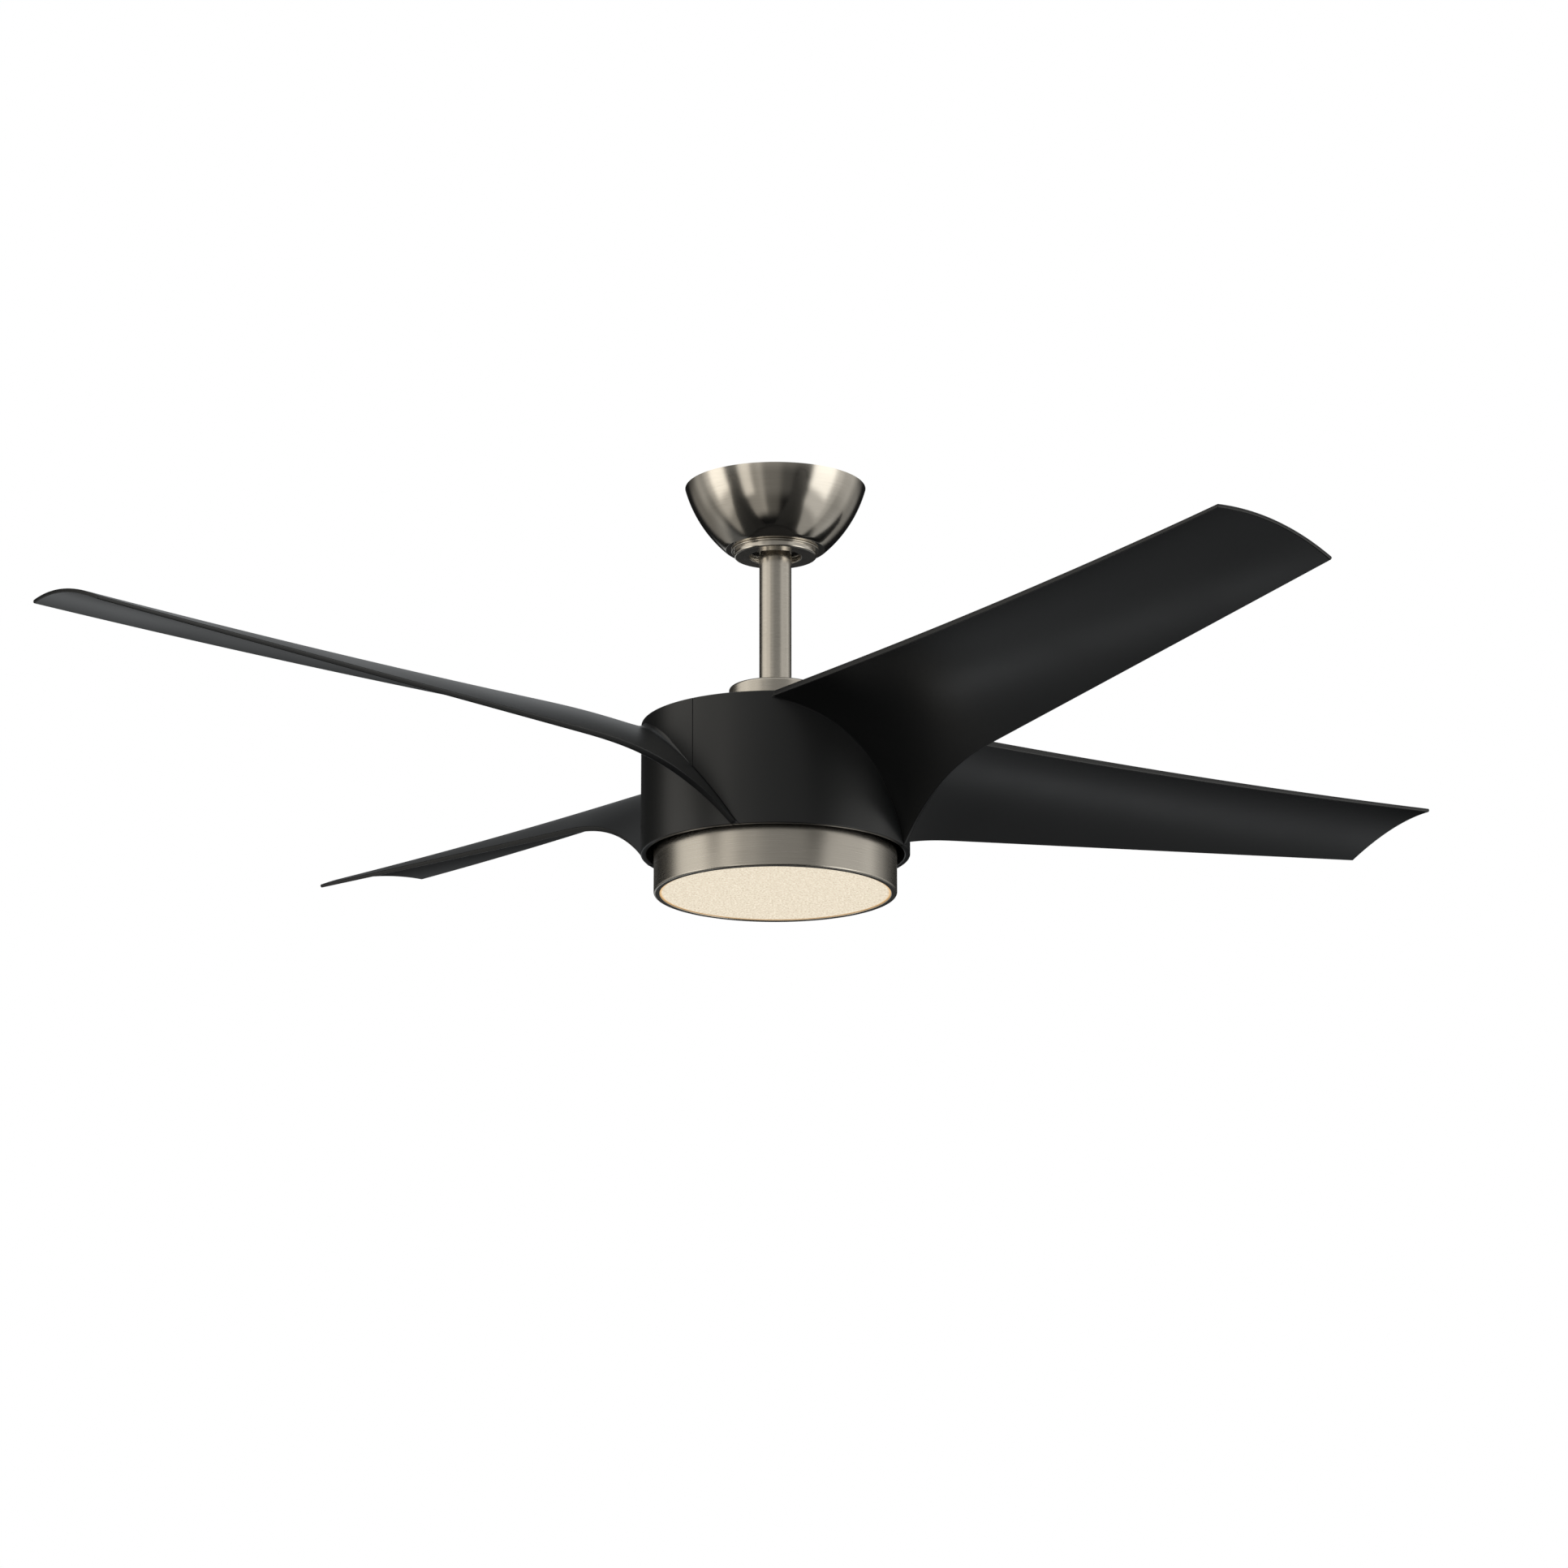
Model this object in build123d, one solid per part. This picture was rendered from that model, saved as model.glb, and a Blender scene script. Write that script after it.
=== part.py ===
"""Ceiling fan with light: four moulded blades, hanging on a downrod, with a round LED light.

Millimetres. The origin is the centre of the ceiling plane, where the hanger bracket and the
canopy rim meet the ceiling. +Z points up, and the fan turns about Z.
"""

from build123d import *
from math import cos, degrees, radians, sin, sqrt, tan
import os

# ---------------------------------------------------------------- driving dimensions
SWEEP_R = 660.4           # half of the 52 inch blade sweep
BLADE_COUNT = 4
FIRST_BLADE_DEG = -55.9   # direction of blade 1's centre line, anticlockwise from +X
CANOPY_R = 75.3
CANOPY_DROP = 52.0        # ceiling to the inside of the canopy floor
HOUSING_DROP = 204.9      # ceiling to the housing's upper rim
HOUSING_H = 110.3
HOUSING_R = 110.8
ROD_R = 13.35             # 3/4 inch pipe, 26.7 mm outside
TILT_DEG = 12.0           # how far the hanging fan tilts each way
LIGHT_GAP = 6.2           # dark gap between the housing wall and the light ring
LIGHT_SHOWS = 32.8        # light ring standing out below the housing wall

# walls and fits
RUNNING = 0.05            # radial clearance of a shaft or ball in its seat
SLIP = 0.3                # clearance of pieces that are fixed by screws or pins
AIR_GAP = 0.6             # between the magnets and the stator
SHEET = 1.2               # pressed steel trim
PLATE = 2.5               # pressed steel structure
CASTING = 4.0             # walls of the cast rotor shells
SEAM = 0.5                # gap between neighbouring blade mouldings
SMALL_SCREW_R = 1.5
MEDIUM_SCREW_R = 1.75
LARGE_SCREW_R = 2.0
SET_SCREW_R = 2.5
SET_SCREW_HEX_R = 1.4
OVERCUT = 1.0             # how far a cutting piece passes the face that it opens
FAR = 400.0               # longer than anything that a cut goes right through

# canopy and its cap
BOWL_WAIST_IN = 11.6      # halfway point of the bowl's curve: this far inside the rim
BOWL_WAIST_DROP = 26.8    # and this far below it
CANOPY_FLOOR_R = 41.3
FLOOR_STEP = 1.6          # narrow cone between the bowl and its flat floor
CAP_R = 34.5
CAP_H = 6.3
CAP_EDGE = 1.5            # rounding of the cap's lower edge
CAP_BEAD = 2.2            # bead standing out round the top of the cap
CAP_BEAD_H = 1.6
CAP_CLEARANCE = 1.36      # left between the cap and the rod when the rod is tilted
CANOPY_HOLE_MORE = 3.3    # canopy hole wider than the cap's
CANOPY_SCREW_R = 29.5     # radius of the two canopy screws from the axis

# hanger bracket
BRACKET_L = 116.0
BRACKET_W = 46.0
BRACKET_CORNER = 6.0
BOX_SCREW_SPACING = 88.9  # 3 1/2 inch outlet box
BOX_SCREW_R = 2.6
BOX_SLOT_L = 14.0
WIRE_HOLE_R = 10.0
LEG_X = 37.0
LEG_W = 22.0
SADDLE_W = 57.2           # width of the pressed saddle round the socket
FOOT_LIFT = 0.5           # bracket feet above the canopy floor
FOOT_EDGE = 4.0           # foot standing in past its screw
EARTH_SCREW_X = 24.0
EARTH_SCREW_Y = 14.0

# hanger ball
BALL_R = 28.0
BALL_DROP = 28.0          # ceiling to the ball's centre
BALL_ABOVE = 14.0         # flat top of the ball above its centre
BALL_BELOW = 20.0         # flat bottom of the ball below its centre
BALL_PIN_UP = 8.0         # cross pin above the ball's centre
BALL_SLOT_W = 6.5         # upright slot that the socket's tab runs in
BALL_SLOT_DEPTH = 5.0
TAB_REACH = 3.0           # how far the socket's tab stands into the slot
TAB_W = 5.5
BALL_SCREW_INSET = 4.0    # head of the ball's set screw below the ball's surface

# receiver and wire connectors
RECEIVER_L = 60.0
RECEIVER_W = 23.0
RECEIVER_H = 14.0
RECEIVER_Y = 46.0
RECEIVER_GAP = 1.5        # below the bracket plate
RECEIVER_CORNER = 2.5
CONNECTOR_R = 5.2
CONNECTOR_TIP_R = 3.6
CONNECTOR_L = 17.0
CONNECTOR_PITCH = 20.0
CONNECTOR_Y = -45.0
CONNECTOR_Z = -12.0

# downrod, coupling and coupling cover
ROD_WALL = 2.8
ROD_TOP = -10.0
COUPLING_WALL = 6.65
COUPLING_H = 34.0
COUPLING_ABOVE = 24.9     # coupling's top above the housing's rim
COUPLING_FLANGE = 5.0
COUPLING_FLANGE_H = 6.0
ROD_IN_COUPLING = 23.5
PIN_R = 3.0
PIN_DOWN = 12.0           # pin below the coupling's top
PIN_END = 4.5             # pin standing out past the coupling
PIN_HEAD_R = 4.8
PIN_HEAD_H = 3.0
CLIP_R = 0.8
CLIP_OUT = 2.5            # clip's leg outside the coupling
CLIP_BEND_R = 2.5
CLIP_L = 11.0
SET_SCREW_DOWN = 7.0      # coupling set screws below the coupling's top
COVER_R = 38.4
COVER_ABOVE = 31.9        # cover's top above the housing's rim
COVER_H = 34.0
COVER_EDGE = 2.0

# motor
SHAFT_R = 8.5
SHAFT_BORE_R = 5.0
SHAFT_STEP = 1.5          # shoulder that the light mount plate is clamped to
SHAFT_TAIL_L = 14.0
BEARING_SECTION = 11.5    # from the shaft to the bearing's outside
BEARING_H = 12.0
BEARING_BALL_R = 3.2
BEARING_BALLS = 8
GROOVE_MORE = 0.1         # groove's radius over the ball's
RACE_WALL = 3.8
BEARING_INSET = 2.0       # bearing below the face of its shell
BEARING_HUB = 5.0         # casting round a bearing, and over its open side
LID_DROP = 21.1           # housing rim to the rotor lid
ROTOR_DROP = 46.0         # lid top to cup bottom
ROTOR_INSET = 30.8        # rotor's wall inside the housing's
ROTOR_FLANGE = 6.0
ROTOR_SCREW_IN = 3.0      # rotor screws inside the flange's edge
ROTOR_SCREWS = 6
MAGNET_T = 7.4
MAGNET_H = 24.0
MAGNETS = 16
MAGNET_DEG = 22.0
STATOR_H = 16.0
STATOR_TEETH = 12
YOKE_OVER = 15.0          # yoke standing out past the castings round the bearings
TOOTH_W = 9.0
SHOE_T = 3.5
SHOE_DEG = 24.0
YOKE_T = 5.0
HUB_WALL = 5.0
HUB_WEB = 8.0             # web between the hub and the yoke
COIL_GAP = 2.0            # coil clear of the yoke and of the shoe
COIL_W = 14.5
COIL_OVER = 7.0           # coil over the core's height
COIL_SLACK = 0.4          # opening of a coil over the tooth in it
COIL_DEG = 28.0

# blade mouldings
HOUSING_WALL = 4.6
SEAM_DEG = 18.5           # vertical seam, measured from the blade's centre line
FLANGE_T = 4.5
FLANGE_REACH = 22.0       # flange standing in over the rotor
BLADE_SCREW_IN = 10.0     # blade screws inside the rotor's wall
BLADE_SCREW_DEG = 22.0    # blade screws, each way from the middle of the flange
TOP_PLATE_DROP = 4.6      # recess of the top plate below the rim
TOP_PLATE_GAP = 5.6       # hole of the top plate clear of the coupling cover
POST_R = 5.0
POST_IN = 10.2            # posts inside the housing wall
POST_SCREW_L = 9.0

# blade surface, in the blade's own frame: x outward, y towards the trailing edge
LEAD_TIP_Y = 53.3
LEAD_TAPER = 10.6
LEAD_TAPER_POWER = 1.2
LEAD_TIP_RISE = 14.4
LEAD_FLAT_X = 120.0
TRAIL_TIP_Y = 53.6
TRAIL_TAPER = 10.7
TRAIL_FLARE = 4.6
TIP_DROP = 22.4
TRAIL_SLOPE = 0.095
ROOT_SWEEP_POWER = 2.7
ROOT_SWEEP_END_X = 230.0
CAMBER_TIP = 6.8
CAMBER_TAPER = 5.8
CAMBER_ROOT = 3.3
BLADE_ROOT_T = 5.5
BLADE_TIP_T = 3.0
LOFT_IN = 8.0             # first section inside the wall
LOFT_OUT = 4.0            # last section past the tip

# light
LIGHT_PLATE_GAP = 12.0    # below the rotor
LIGHT_PLATE_IN = 16.0     # light mount plate inside the ring
NUT_OVER = 5.5            # nut's corners outside the shaft's tail
NUT_H = 7.0
RING_WALL = 1.6
RING_LIP = 5.0
RING_LIP_T = 2.0
RING_EDGE = 1.6
RING_SCREW_IN = 10.0      # ring screws inside the light mount plate
RING_SCREWS = 3
RING_SCREW_DEG = 30.0
UPSTAND_T = 1.5
UPSTAND_H = 10.6
STANDOFF_IN = 8.0         # spacers inside the ring screws
STANDOFF_DEG = 90.0
STANDOFF_HEX_R = 3.6
RING_HOLE_IN = 10.0       # ring's hole inside the spacers
HEAT_PLATE_UP = 32.0      # above the light's lower rim
HEAT_PLATE_IN = 10.0
HEAT_PLATE_T = 2.0
LEAD_HOLE_R = 6.0
BOARD_IN = 18.0
BOARD_T = 1.6
CHIP_L = 3.5
CHIP_W = 2.8
CHIP_T = 0.8
CHIP_RINGS = (6, 12, 18)  # LEDs in each ring
CHIP_FIRST_R = 22.0
CHIP_EDGE = 12.0          # last ring of LEDs inside the board's edge
CHIP_DEG = 15.0
DRIVER_L = 76.0
DRIVER_H = 20.0
DRIVER_IN_Y = 15.0
DRIVER_GAP = 9.0          # driver clear of the spacer's middle
DRIVER_CORNER = 3.0
CLIP_W = 12.0
CLIP_T = 1.0
CLIP_FOOT = 6.8
LENS_T = 2.2
LENS_EDGE = 0.8
LENS_RECESS = 1.0
LENS_SKIRT_IN = 8.0
LENS_SKIRT_WALL = 1.8
LENS_TABS = 3
TAB_DEG = 12.0
TAB_T = 2.0
TAB_EASE_DEG = 2.0        # notch wider than the tab, each way
LENS_TWIST = 20.0         # turn from locked to released, anticlockwise seen from below

# heights and radii that follow
HOUSING_TOP = -HOUSING_DROP
HOUSING_BOTTOM = HOUSING_TOP - HOUSING_H
WALL_IN_R = HOUSING_R - HOUSING_WALL
LIGHT_R = WALL_IN_R - LIGHT_GAP
LIGHT_BOTTOM = HOUSING_BOTTOM - LIGHT_SHOWS
CANOPY_FLOOR = -CANOPY_DROP - SHEET
CAP_BOTTOM = CANOPY_FLOOR - CAP_H
BALL_Z = -BALL_DROP
TILT = radians(TILT_DEG)
CAP_HOLE_R = ROD_R / cos(TILT) + (BALL_Z - CAP_BOTTOM) * tan(TILT) + CAP_CLEARANCE
CANOPY_HOLE_R = CAP_HOLE_R + CANOPY_HOLE_MORE
SOCKET_MOUTH_R = ROD_R / cos(TILT) + (BALL_R + PLATE) * tan(TILT) + SLIP
COUPLING_R = ROD_R + COUPLING_WALL
COUPLING_TOP = HOUSING_TOP + COUPLING_ABOVE
COUPLING_BOTTOM = COUPLING_TOP - COUPLING_H
ROD_BOTTOM = COUPLING_TOP - ROD_IN_COUPLING
PIN_Z = COUPLING_TOP - PIN_DOWN
COVER_TOP = HOUSING_TOP + COVER_ABOVE
SHAFT_TOP = ROD_BOTTOM - OVERCUT
SHAFT_TAIL_R = SHAFT_R - SHAFT_STEP
BEARING_R = SHAFT_R + BEARING_SECTION
BALL_PITCH_R = (SHAFT_R + BEARING_R) / 2
LID_TOP = HOUSING_TOP - LID_DROP
ROTOR_BOTTOM = LID_TOP - ROTOR_DROP
UPPER_BEARING_TOP = LID_TOP - BEARING_INSET
LOWER_BEARING_TOP = ROTOR_BOTTOM + BEARING_INSET + BEARING_H
ROTOR_R = HOUSING_R - ROTOR_INSET
ROTOR_FLANGE_R = ROTOR_R + ROTOR_FLANGE
ROTOR_SCREW_AT_R = ROTOR_FLANGE_R - ROTOR_SCREW_IN
MAGNET_R = ROTOR_R - CASTING
STATOR_R = MAGNET_R - MAGNET_T - AIR_GAP
STATOR_MID = (LID_TOP + ROTOR_BOTTOM) / 2
YOKE_R = BEARING_R + BEARING_HUB + YOKE_OVER
FLANGE_TOP = LID_TOP + FLANGE_T
BLADE_SCREW_AT_R = ROTOR_R - BLADE_SCREW_IN
POST_AT_R = WALL_IN_R - POST_IN
BLADE_SHARE_DEG = 360 / BLADE_COUNT
FLANGE_MIDDLE_DEG = SEAM_DEG - BLADE_SHARE_DEG / 2
SEAM_GAP_DEG = degrees(SEAM / HOUSING_R)
ROOT_Y = TRAIL_TIP_Y + TRAIL_TAPER + TRAIL_FLARE
ROOT_X = sqrt(HOUSING_R**2 - ROOT_Y**2)
LEAD_ROOT_Z = HOUSING_TOP - BLADE_ROOT_T / 2
TRAIL_TIP_Z = LEAD_ROOT_Z + LEAD_TIP_RISE - TIP_DROP
ROOT_SWEEP = TRAIL_TIP_Z - TRAIL_SLOPE * (SWEEP_R - ROOT_X) - HOUSING_BOTTOM
LIGHT_PLATE_TOP = ROTOR_BOTTOM - LIGHT_PLATE_GAP
LIGHT_PLATE_R = LIGHT_R - LIGHT_PLATE_IN
RING_TOP = LIGHT_PLATE_TOP - PLATE
RING_SCREW_AT_R = LIGHT_PLATE_R - RING_SCREW_IN
STANDOFF_AT_R = RING_SCREW_AT_R - STANDOFF_IN
HEAT_PLATE_TOP = LIGHT_BOTTOM + HEAT_PLATE_UP
BOARD_TOP = HEAT_PLATE_TOP - HEAT_PLATE_T
BOARD_R = LIGHT_R - BOARD_IN
DRIVER_W = STANDOFF_AT_R - DRIVER_GAP - DRIVER_IN_Y
DRIVER_Y = DRIVER_IN_Y + DRIVER_W / 2
LENS_SKIRT_R = LIGHT_R - LENS_SKIRT_IN


# ---------------------------------------------------------------- small helpers
def tube(outer, inner, top, bottom):
    """Straight round wall between two heights."""
    height = top - bottom
    middle = Pos(0, 0, (top + bottom) / 2)
    return middle * Cylinder(outer, height) - middle * Cylinder(inner, height + 2 * OVERCUT)


def rod(radius, top, bottom):
    """Solid round bar between two heights."""
    return Pos(0, 0, (top + bottom) / 2) * Cylinder(radius, top - bottom)


def block(x, y, z_top, size_x, size_y, height):
    """Box given by the middle of its top face."""
    return Pos(x, y, z_top - height / 2) * Box(size_x, size_y, height)


def around(piece, count, start=0.0):
    """Copies of one piece, evenly turned about the fan's axis."""
    return [Rot(0, 0, start + 360 * i / count) * piece for i in range(count)]


def joined(pieces):
    """One shape from several touching pieces."""
    whole = pieces[0]
    for piece in pieces[1:]:
        whole = whole + piece
    return whole


def turned(outline):
    """Solid turned about Z from edges in the XZ plane."""
    return revolve(make_face(outline), Axis.Z)


def screw(shank_r, length):
    """Pan-head screw with its head seat at z = 0 and its shank pointing down.

    The head is 1.9 times as wide as the shank and 1.15 shank radii high, and its cross slot is
    half a shank radius wide and half a head deep.
    """
    head_r = 1.9 * shank_r
    head_h = 1.15 * shank_r
    head = Pos(0, 0, head_h / 2) * Cylinder(head_r, head_h)
    head = fillet(head.edges().group_by(Axis.Z)[-1], head_h * 0.4)
    arm = Pos(0, 0, head_h) * Box(head_r * 1.2, shank_r / 2, head_h)
    head = head - arm - Rot(0, 0, 90) * arm
    return head + Pos(0, 0, -length / 2) * Cylinder(shank_r, length)


def sector(radius, start_deg, end_deg, top, bottom):
    """Pie slice used to keep or remove part of a round piece."""
    face = make_face([
        Line((0, 0), (radius * cos(radians(start_deg)), radius * sin(radians(start_deg)))),
        CenterArc((0, 0), radius, start_deg, end_deg - start_deg),
        Line((radius * cos(radians(end_deg)), radius * sin(radians(end_deg))), (0, 0)),
    ])
    return extrude(Pos(0, 0, bottom) * face, top - bottom, dir=(0, 0, 1))


# ---------------------------------------------------------------- ceiling end
def hanger_bracket():
    """Pressed steel saddle: ceiling plate, two legs, and a socket ring that carries the ball."""
    plate = block(0, 0, 0, BRACKET_L, BRACKET_W, PLATE)
    plate = fillet(plate.edges().filter_by(Axis.Z), BRACKET_CORNER)
    slot = extrude(SlotOverall(BOX_SLOT_L, 2 * BOX_SCREW_R), FAR, both=True)
    for side in (-1, 1):
        plate -= Pos(side * BOX_SCREW_SPACING / 2, 0, 0) * slot
    plate -= Cylinder(WIRE_HOLE_R, FAR)
    plate -= Pos(EARTH_SCREW_X, EARTH_SCREW_Y, 0) * Cylinder(MEDIUM_SCREW_R, FAR)
    foot_z = -CANOPY_DROP + FOOT_LIFT
    foot_in = CANOPY_SCREW_R - FOOT_EDGE
    foot_l = LEG_X - foot_in
    socket_r = BALL_R + RUNNING
    ring = tube(LEG_X, socket_r - FOOT_LIFT, BALL_Z, BALL_Z - PLATE)
    ring = ring & Box(2 * LEG_X, SADDLE_W, FAR)
    cup = Pos(0, 0, BALL_Z) * Sphere(socket_r + PLATE)
    cup = cup & block(0, 0, BALL_Z, FAR, FAR, BALL_Z - foot_z - PLATE / 2)
    body = plate + ring + cup
    for side in (-1, 1):
        body += block(side * LEG_X, 0, 0, PLATE, LEG_W, -foot_z)
        foot = block(side * (foot_in + foot_l / 2), 0, foot_z + PLATE, foot_l, LEG_W, PLATE)
        body += foot - Pos(side * CANOPY_SCREW_R, 0, foot_z) * Cylinder(MEDIUM_SCREW_R, 4 * PLATE)
    body -= Pos(0, 0, BALL_Z) * Sphere(socket_r)
    body -= rod(SOCKET_MOUTH_R, BALL_Z, -FAR)
    tab_l = TAB_REACH + PLATE
    tab_y = -BALL_R + TAB_REACH - tab_l / 2
    return body + block(0, tab_y, BALL_Z, TAB_W, tab_l, PLATE)


def canopy():
    """Spun bowl with a flat floor, held by two screws that its cap hides."""
    rim = (CANOPY_R, 0)
    waist = (CANOPY_R - BOWL_WAIST_IN, -BOWL_WAIST_DROP)
    foot = (CANOPY_FLOOR_R + FLOOR_STEP, -CANOPY_DROP)
    rim_in = (CANOPY_R - SHEET, 0)
    waist_in = (waist[0] - SHEET, waist[1] + SHEET / 2)
    foot_in = (foot[0] - SHEET, -CANOPY_DROP)
    lines = [
        ThreePointArc(rim, waist, foot),
        Line(foot, (CANOPY_FLOOR_R, CANOPY_FLOOR)),
        Line((CANOPY_FLOOR_R, CANOPY_FLOOR), (CANOPY_HOLE_R, CANOPY_FLOOR)),
        Line((CANOPY_HOLE_R, CANOPY_FLOOR), (CANOPY_HOLE_R, -CANOPY_DROP)),
        Line((CANOPY_HOLE_R, -CANOPY_DROP), foot_in),
        ThreePointArc(rim_in, waist_in, foot_in),
        Line(rim_in, rim),
    ]
    bowl = turned([Plane.XZ * line for line in lines])
    for side in (-1, 1):
        bowl -= Pos(side * CANOPY_SCREW_R, 0, -CANOPY_DROP) * Cylinder(MEDIUM_SCREW_R + SLIP, 4 * PLATE)
    return bowl


def canopy_screws():
    """Two machine screws up through the canopy floor into the bracket feet."""
    length = SHEET + FOOT_LIFT + PLATE
    one = Pos(0, 0, CANOPY_FLOOR) * Rot(180, 0, 0) * screw(MEDIUM_SCREW_R, length)
    return [Pos(side * CANOPY_SCREW_R, 0, 0) * one for side in (-1, 1)]


def canopy_cap():
    """Shallow polished cup that hides the canopy screws, with a hole for the tilting rod."""
    cup = rod(CAP_R, CANOPY_FLOOR, CAP_BOTTOM)
    cup = fillet(cup.edges().group_by(Axis.Z)[0], CAP_EDGE)
    cup += rod(CAP_R + CAP_BEAD, CANOPY_FLOOR, CANOPY_FLOOR - CAP_BEAD_H)
    cup -= rod(CAP_R - SHEET, CANOPY_FLOOR + OVERCUT, CAP_BOTTOM + SHEET)
    return cup - rod(CAP_HOLE_R, 0, -FAR)


def receiver_module():
    """Sealed plastic box of the remote control receiver, beside the ball."""
    top = -PLATE - RECEIVER_GAP
    box = block(0, RECEIVER_Y, top, RECEIVER_L, RECEIVER_W, RECEIVER_H)
    return fillet(box.edges().filter_by(Axis.Z), RECEIVER_CORNER)


def wire_connectors():
    """Three screw-on wire connectors, lying beside the bracket."""
    one = Pos(0, CONNECTOR_Y, CONNECTOR_Z) * Rot(90, 0, 0)
    one = one * Cone(CONNECTOR_R, CONNECTOR_TIP_R, CONNECTOR_L)
    return [Pos(side * CONNECTOR_PITCH, 0, 0) * one for side in (-1, 0, 1)]


def ground_screw():
    """Green-marked earth screw in the bracket plate."""
    one = Rot(180, 0, 0) * screw(MEDIUM_SCREW_R, PLATE - FOOT_LIFT)
    return Pos(EARTH_SCREW_X, EARTH_SCREW_Y, -PLATE) * one


# ---------------------------------------------------------------- hanging end
def cross_bore(radius, height, turn=0.0):
    """Bar right across the axis at a height, along X or turned from it."""
    return Rot(0, 0, turn) * Pos(0, 0, height) * Rot(0, 90, 0) * Cylinder(radius, FAR)


def set_screw(length):
    """Headless screw along Y, with a hexagon socket in its outer end at +Y."""
    body = Rot(90, 0, 0) * Cylinder(SET_SCREW_R - RUNNING, length)
    socket = extrude(RegularPolygon(SET_SCREW_HEX_R, 6), length / 2, both=True)
    return body - Pos(0, length / 2, 0) * Rot(90, 0, 0) * socket


def hanger_ball():
    """Truncated ball on the top of the downrod, with a cross pin slot and a side set screw."""
    ball = Pos(0, 0, BALL_Z) * Sphere(BALL_R)
    ball = ball & block(0, 0, BALL_Z + BALL_ABOVE, FAR, FAR, BALL_ABOVE + BALL_BELOW)
    ball -= rod(ROD_R + RUNNING, 0, -FAR)
    ball -= cross_bore(PIN_R, BALL_Z + BALL_PIN_UP)
    ball -= block(0, -BALL_R, 0, BALL_SLOT_W, 2 * BALL_SLOT_DEPTH, FAR)
    return ball - (cross_bore(SET_SCREW_R, BALL_Z, 90) & block(0, BALL_R, 0, FAR, 2 * BALL_R, FAR))


def ball_cross_pin():
    """Steel pin through the rod and the ball."""
    reach = sqrt(BALL_R**2 - (BALL_PIN_UP + PIN_R) ** 2) - OVERCUT
    pin = Rot(0, 90, 0) * Cylinder(PIN_R - RUNNING, 2 * reach)
    return Pos(0, 0, BALL_Z + BALL_PIN_UP) * pin


def ball_set_screw():
    """Socket set screw that locks the ball to the rod."""
    length = BALL_R - ROD_R - BALL_SCREW_INSET
    return Pos(0, ROD_R + SLIP + length / 2, BALL_Z) * set_screw(length)


def downrod():
    """Steel pipe, cross drilled at both ends."""
    pipe = tube(ROD_R, ROD_R - ROD_WALL, ROD_TOP, ROD_BOTTOM)
    return pipe - cross_bore(PIN_R, BALL_Z + BALL_PIN_UP) - cross_bore(PIN_R, PIN_Z)


def motor_coupling():
    """Cast coupling pinned to the rod and pressed on the motor shaft."""
    body = rod(COUPLING_R, COUPLING_TOP, COUPLING_BOTTOM)
    flange_r = COUPLING_R + COUPLING_FLANGE
    body += rod(flange_r, COUPLING_BOTTOM + COUPLING_FLANGE_H, COUPLING_BOTTOM)
    body -= rod(ROD_R + RUNNING, COUPLING_TOP + OVERCUT, ROD_BOTTOM)
    body -= rod(SHAFT_BORE_R, ROD_BOTTOM + OVERCUT, SHAFT_TOP)
    body -= rod(SHAFT_R, SHAFT_TOP, COUPLING_BOTTOM - OVERCUT)
    body -= cross_bore(PIN_R, PIN_Z)
    return body - cross_bore(SET_SCREW_R, COUPLING_TOP - SET_SCREW_DOWN, 90)


def coupling_pin():
    """Headed clevis pin through the coupling and the rod."""
    start = -COUPLING_R - PIN_HEAD_H / 2
    end = COUPLING_R + PIN_END
    pin = Pos((start + end) / 2, 0, PIN_Z) * Rot(0, 90, 0) * Cylinder(PIN_R - RUNNING, end - start)
    head = Pos(start - PIN_HEAD_H / 2, 0, PIN_Z) * Rot(0, 90, 0) * Cylinder(PIN_HEAD_R, PIN_HEAD_H)
    return pin + head - Pos(COUPLING_R + CLIP_OUT, 0, PIN_Z) * Cylinder(CLIP_R + RUNNING, FAR)


def pin_clip():
    """Spring clip through the tip of the coupling pin."""
    leg = Cylinder(CLIP_R, CLIP_L)
    bend = Pos(0, CLIP_BEND_R, CLIP_L / 2) * Rot(0, 90, 0) * Torus(CLIP_BEND_R, CLIP_R)
    bend = bend & block(0, 0, CLIP_L + CLIP_BEND_R, FAR, FAR, CLIP_L / 2 + CLIP_BEND_R)
    back = Pos(0, 2 * CLIP_BEND_R, 0) * leg
    return Pos(COUPLING_R + CLIP_OUT, 0, PIN_Z) * (leg + bend + back)


def coupling_set_screws():
    """Two set screws that stop the rod from rattling in the coupling."""
    length = COUPLING_WALL - SLIP
    middle = ROD_R + SLIP + length / 2
    return around(Pos(0, middle, COUPLING_TOP - SET_SCREW_DOWN) * set_screw(length), 2)


def coupling_cover():
    """Drawn collar that hides the coupling, resting just above the turning top plate."""
    cover = rod(COVER_R, COVER_TOP, COVER_TOP - COVER_H)
    cover = fillet(cover.edges().group_by(Axis.Z)[-1], COVER_EDGE)
    cover -= rod(COVER_R - SHEET, COVER_TOP - SHEET, COVER_TOP - COVER_H - OVERCUT)
    return cover - rod(ROD_R + SLIP, 0, -FAR)


# ---------------------------------------------------------------- motor
def motor_shaft():
    """Hollow fixed shaft: wires run through it, and the rotor turns on its two bearings."""
    body = rod(SHAFT_R, SHAFT_TOP, LIGHT_PLATE_TOP)
    body += rod(SHAFT_TAIL_R, LIGHT_PLATE_TOP, LIGHT_PLATE_TOP - SHAFT_TAIL_L)
    return body - rod(SHAFT_BORE_R, 0, -FAR)


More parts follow.
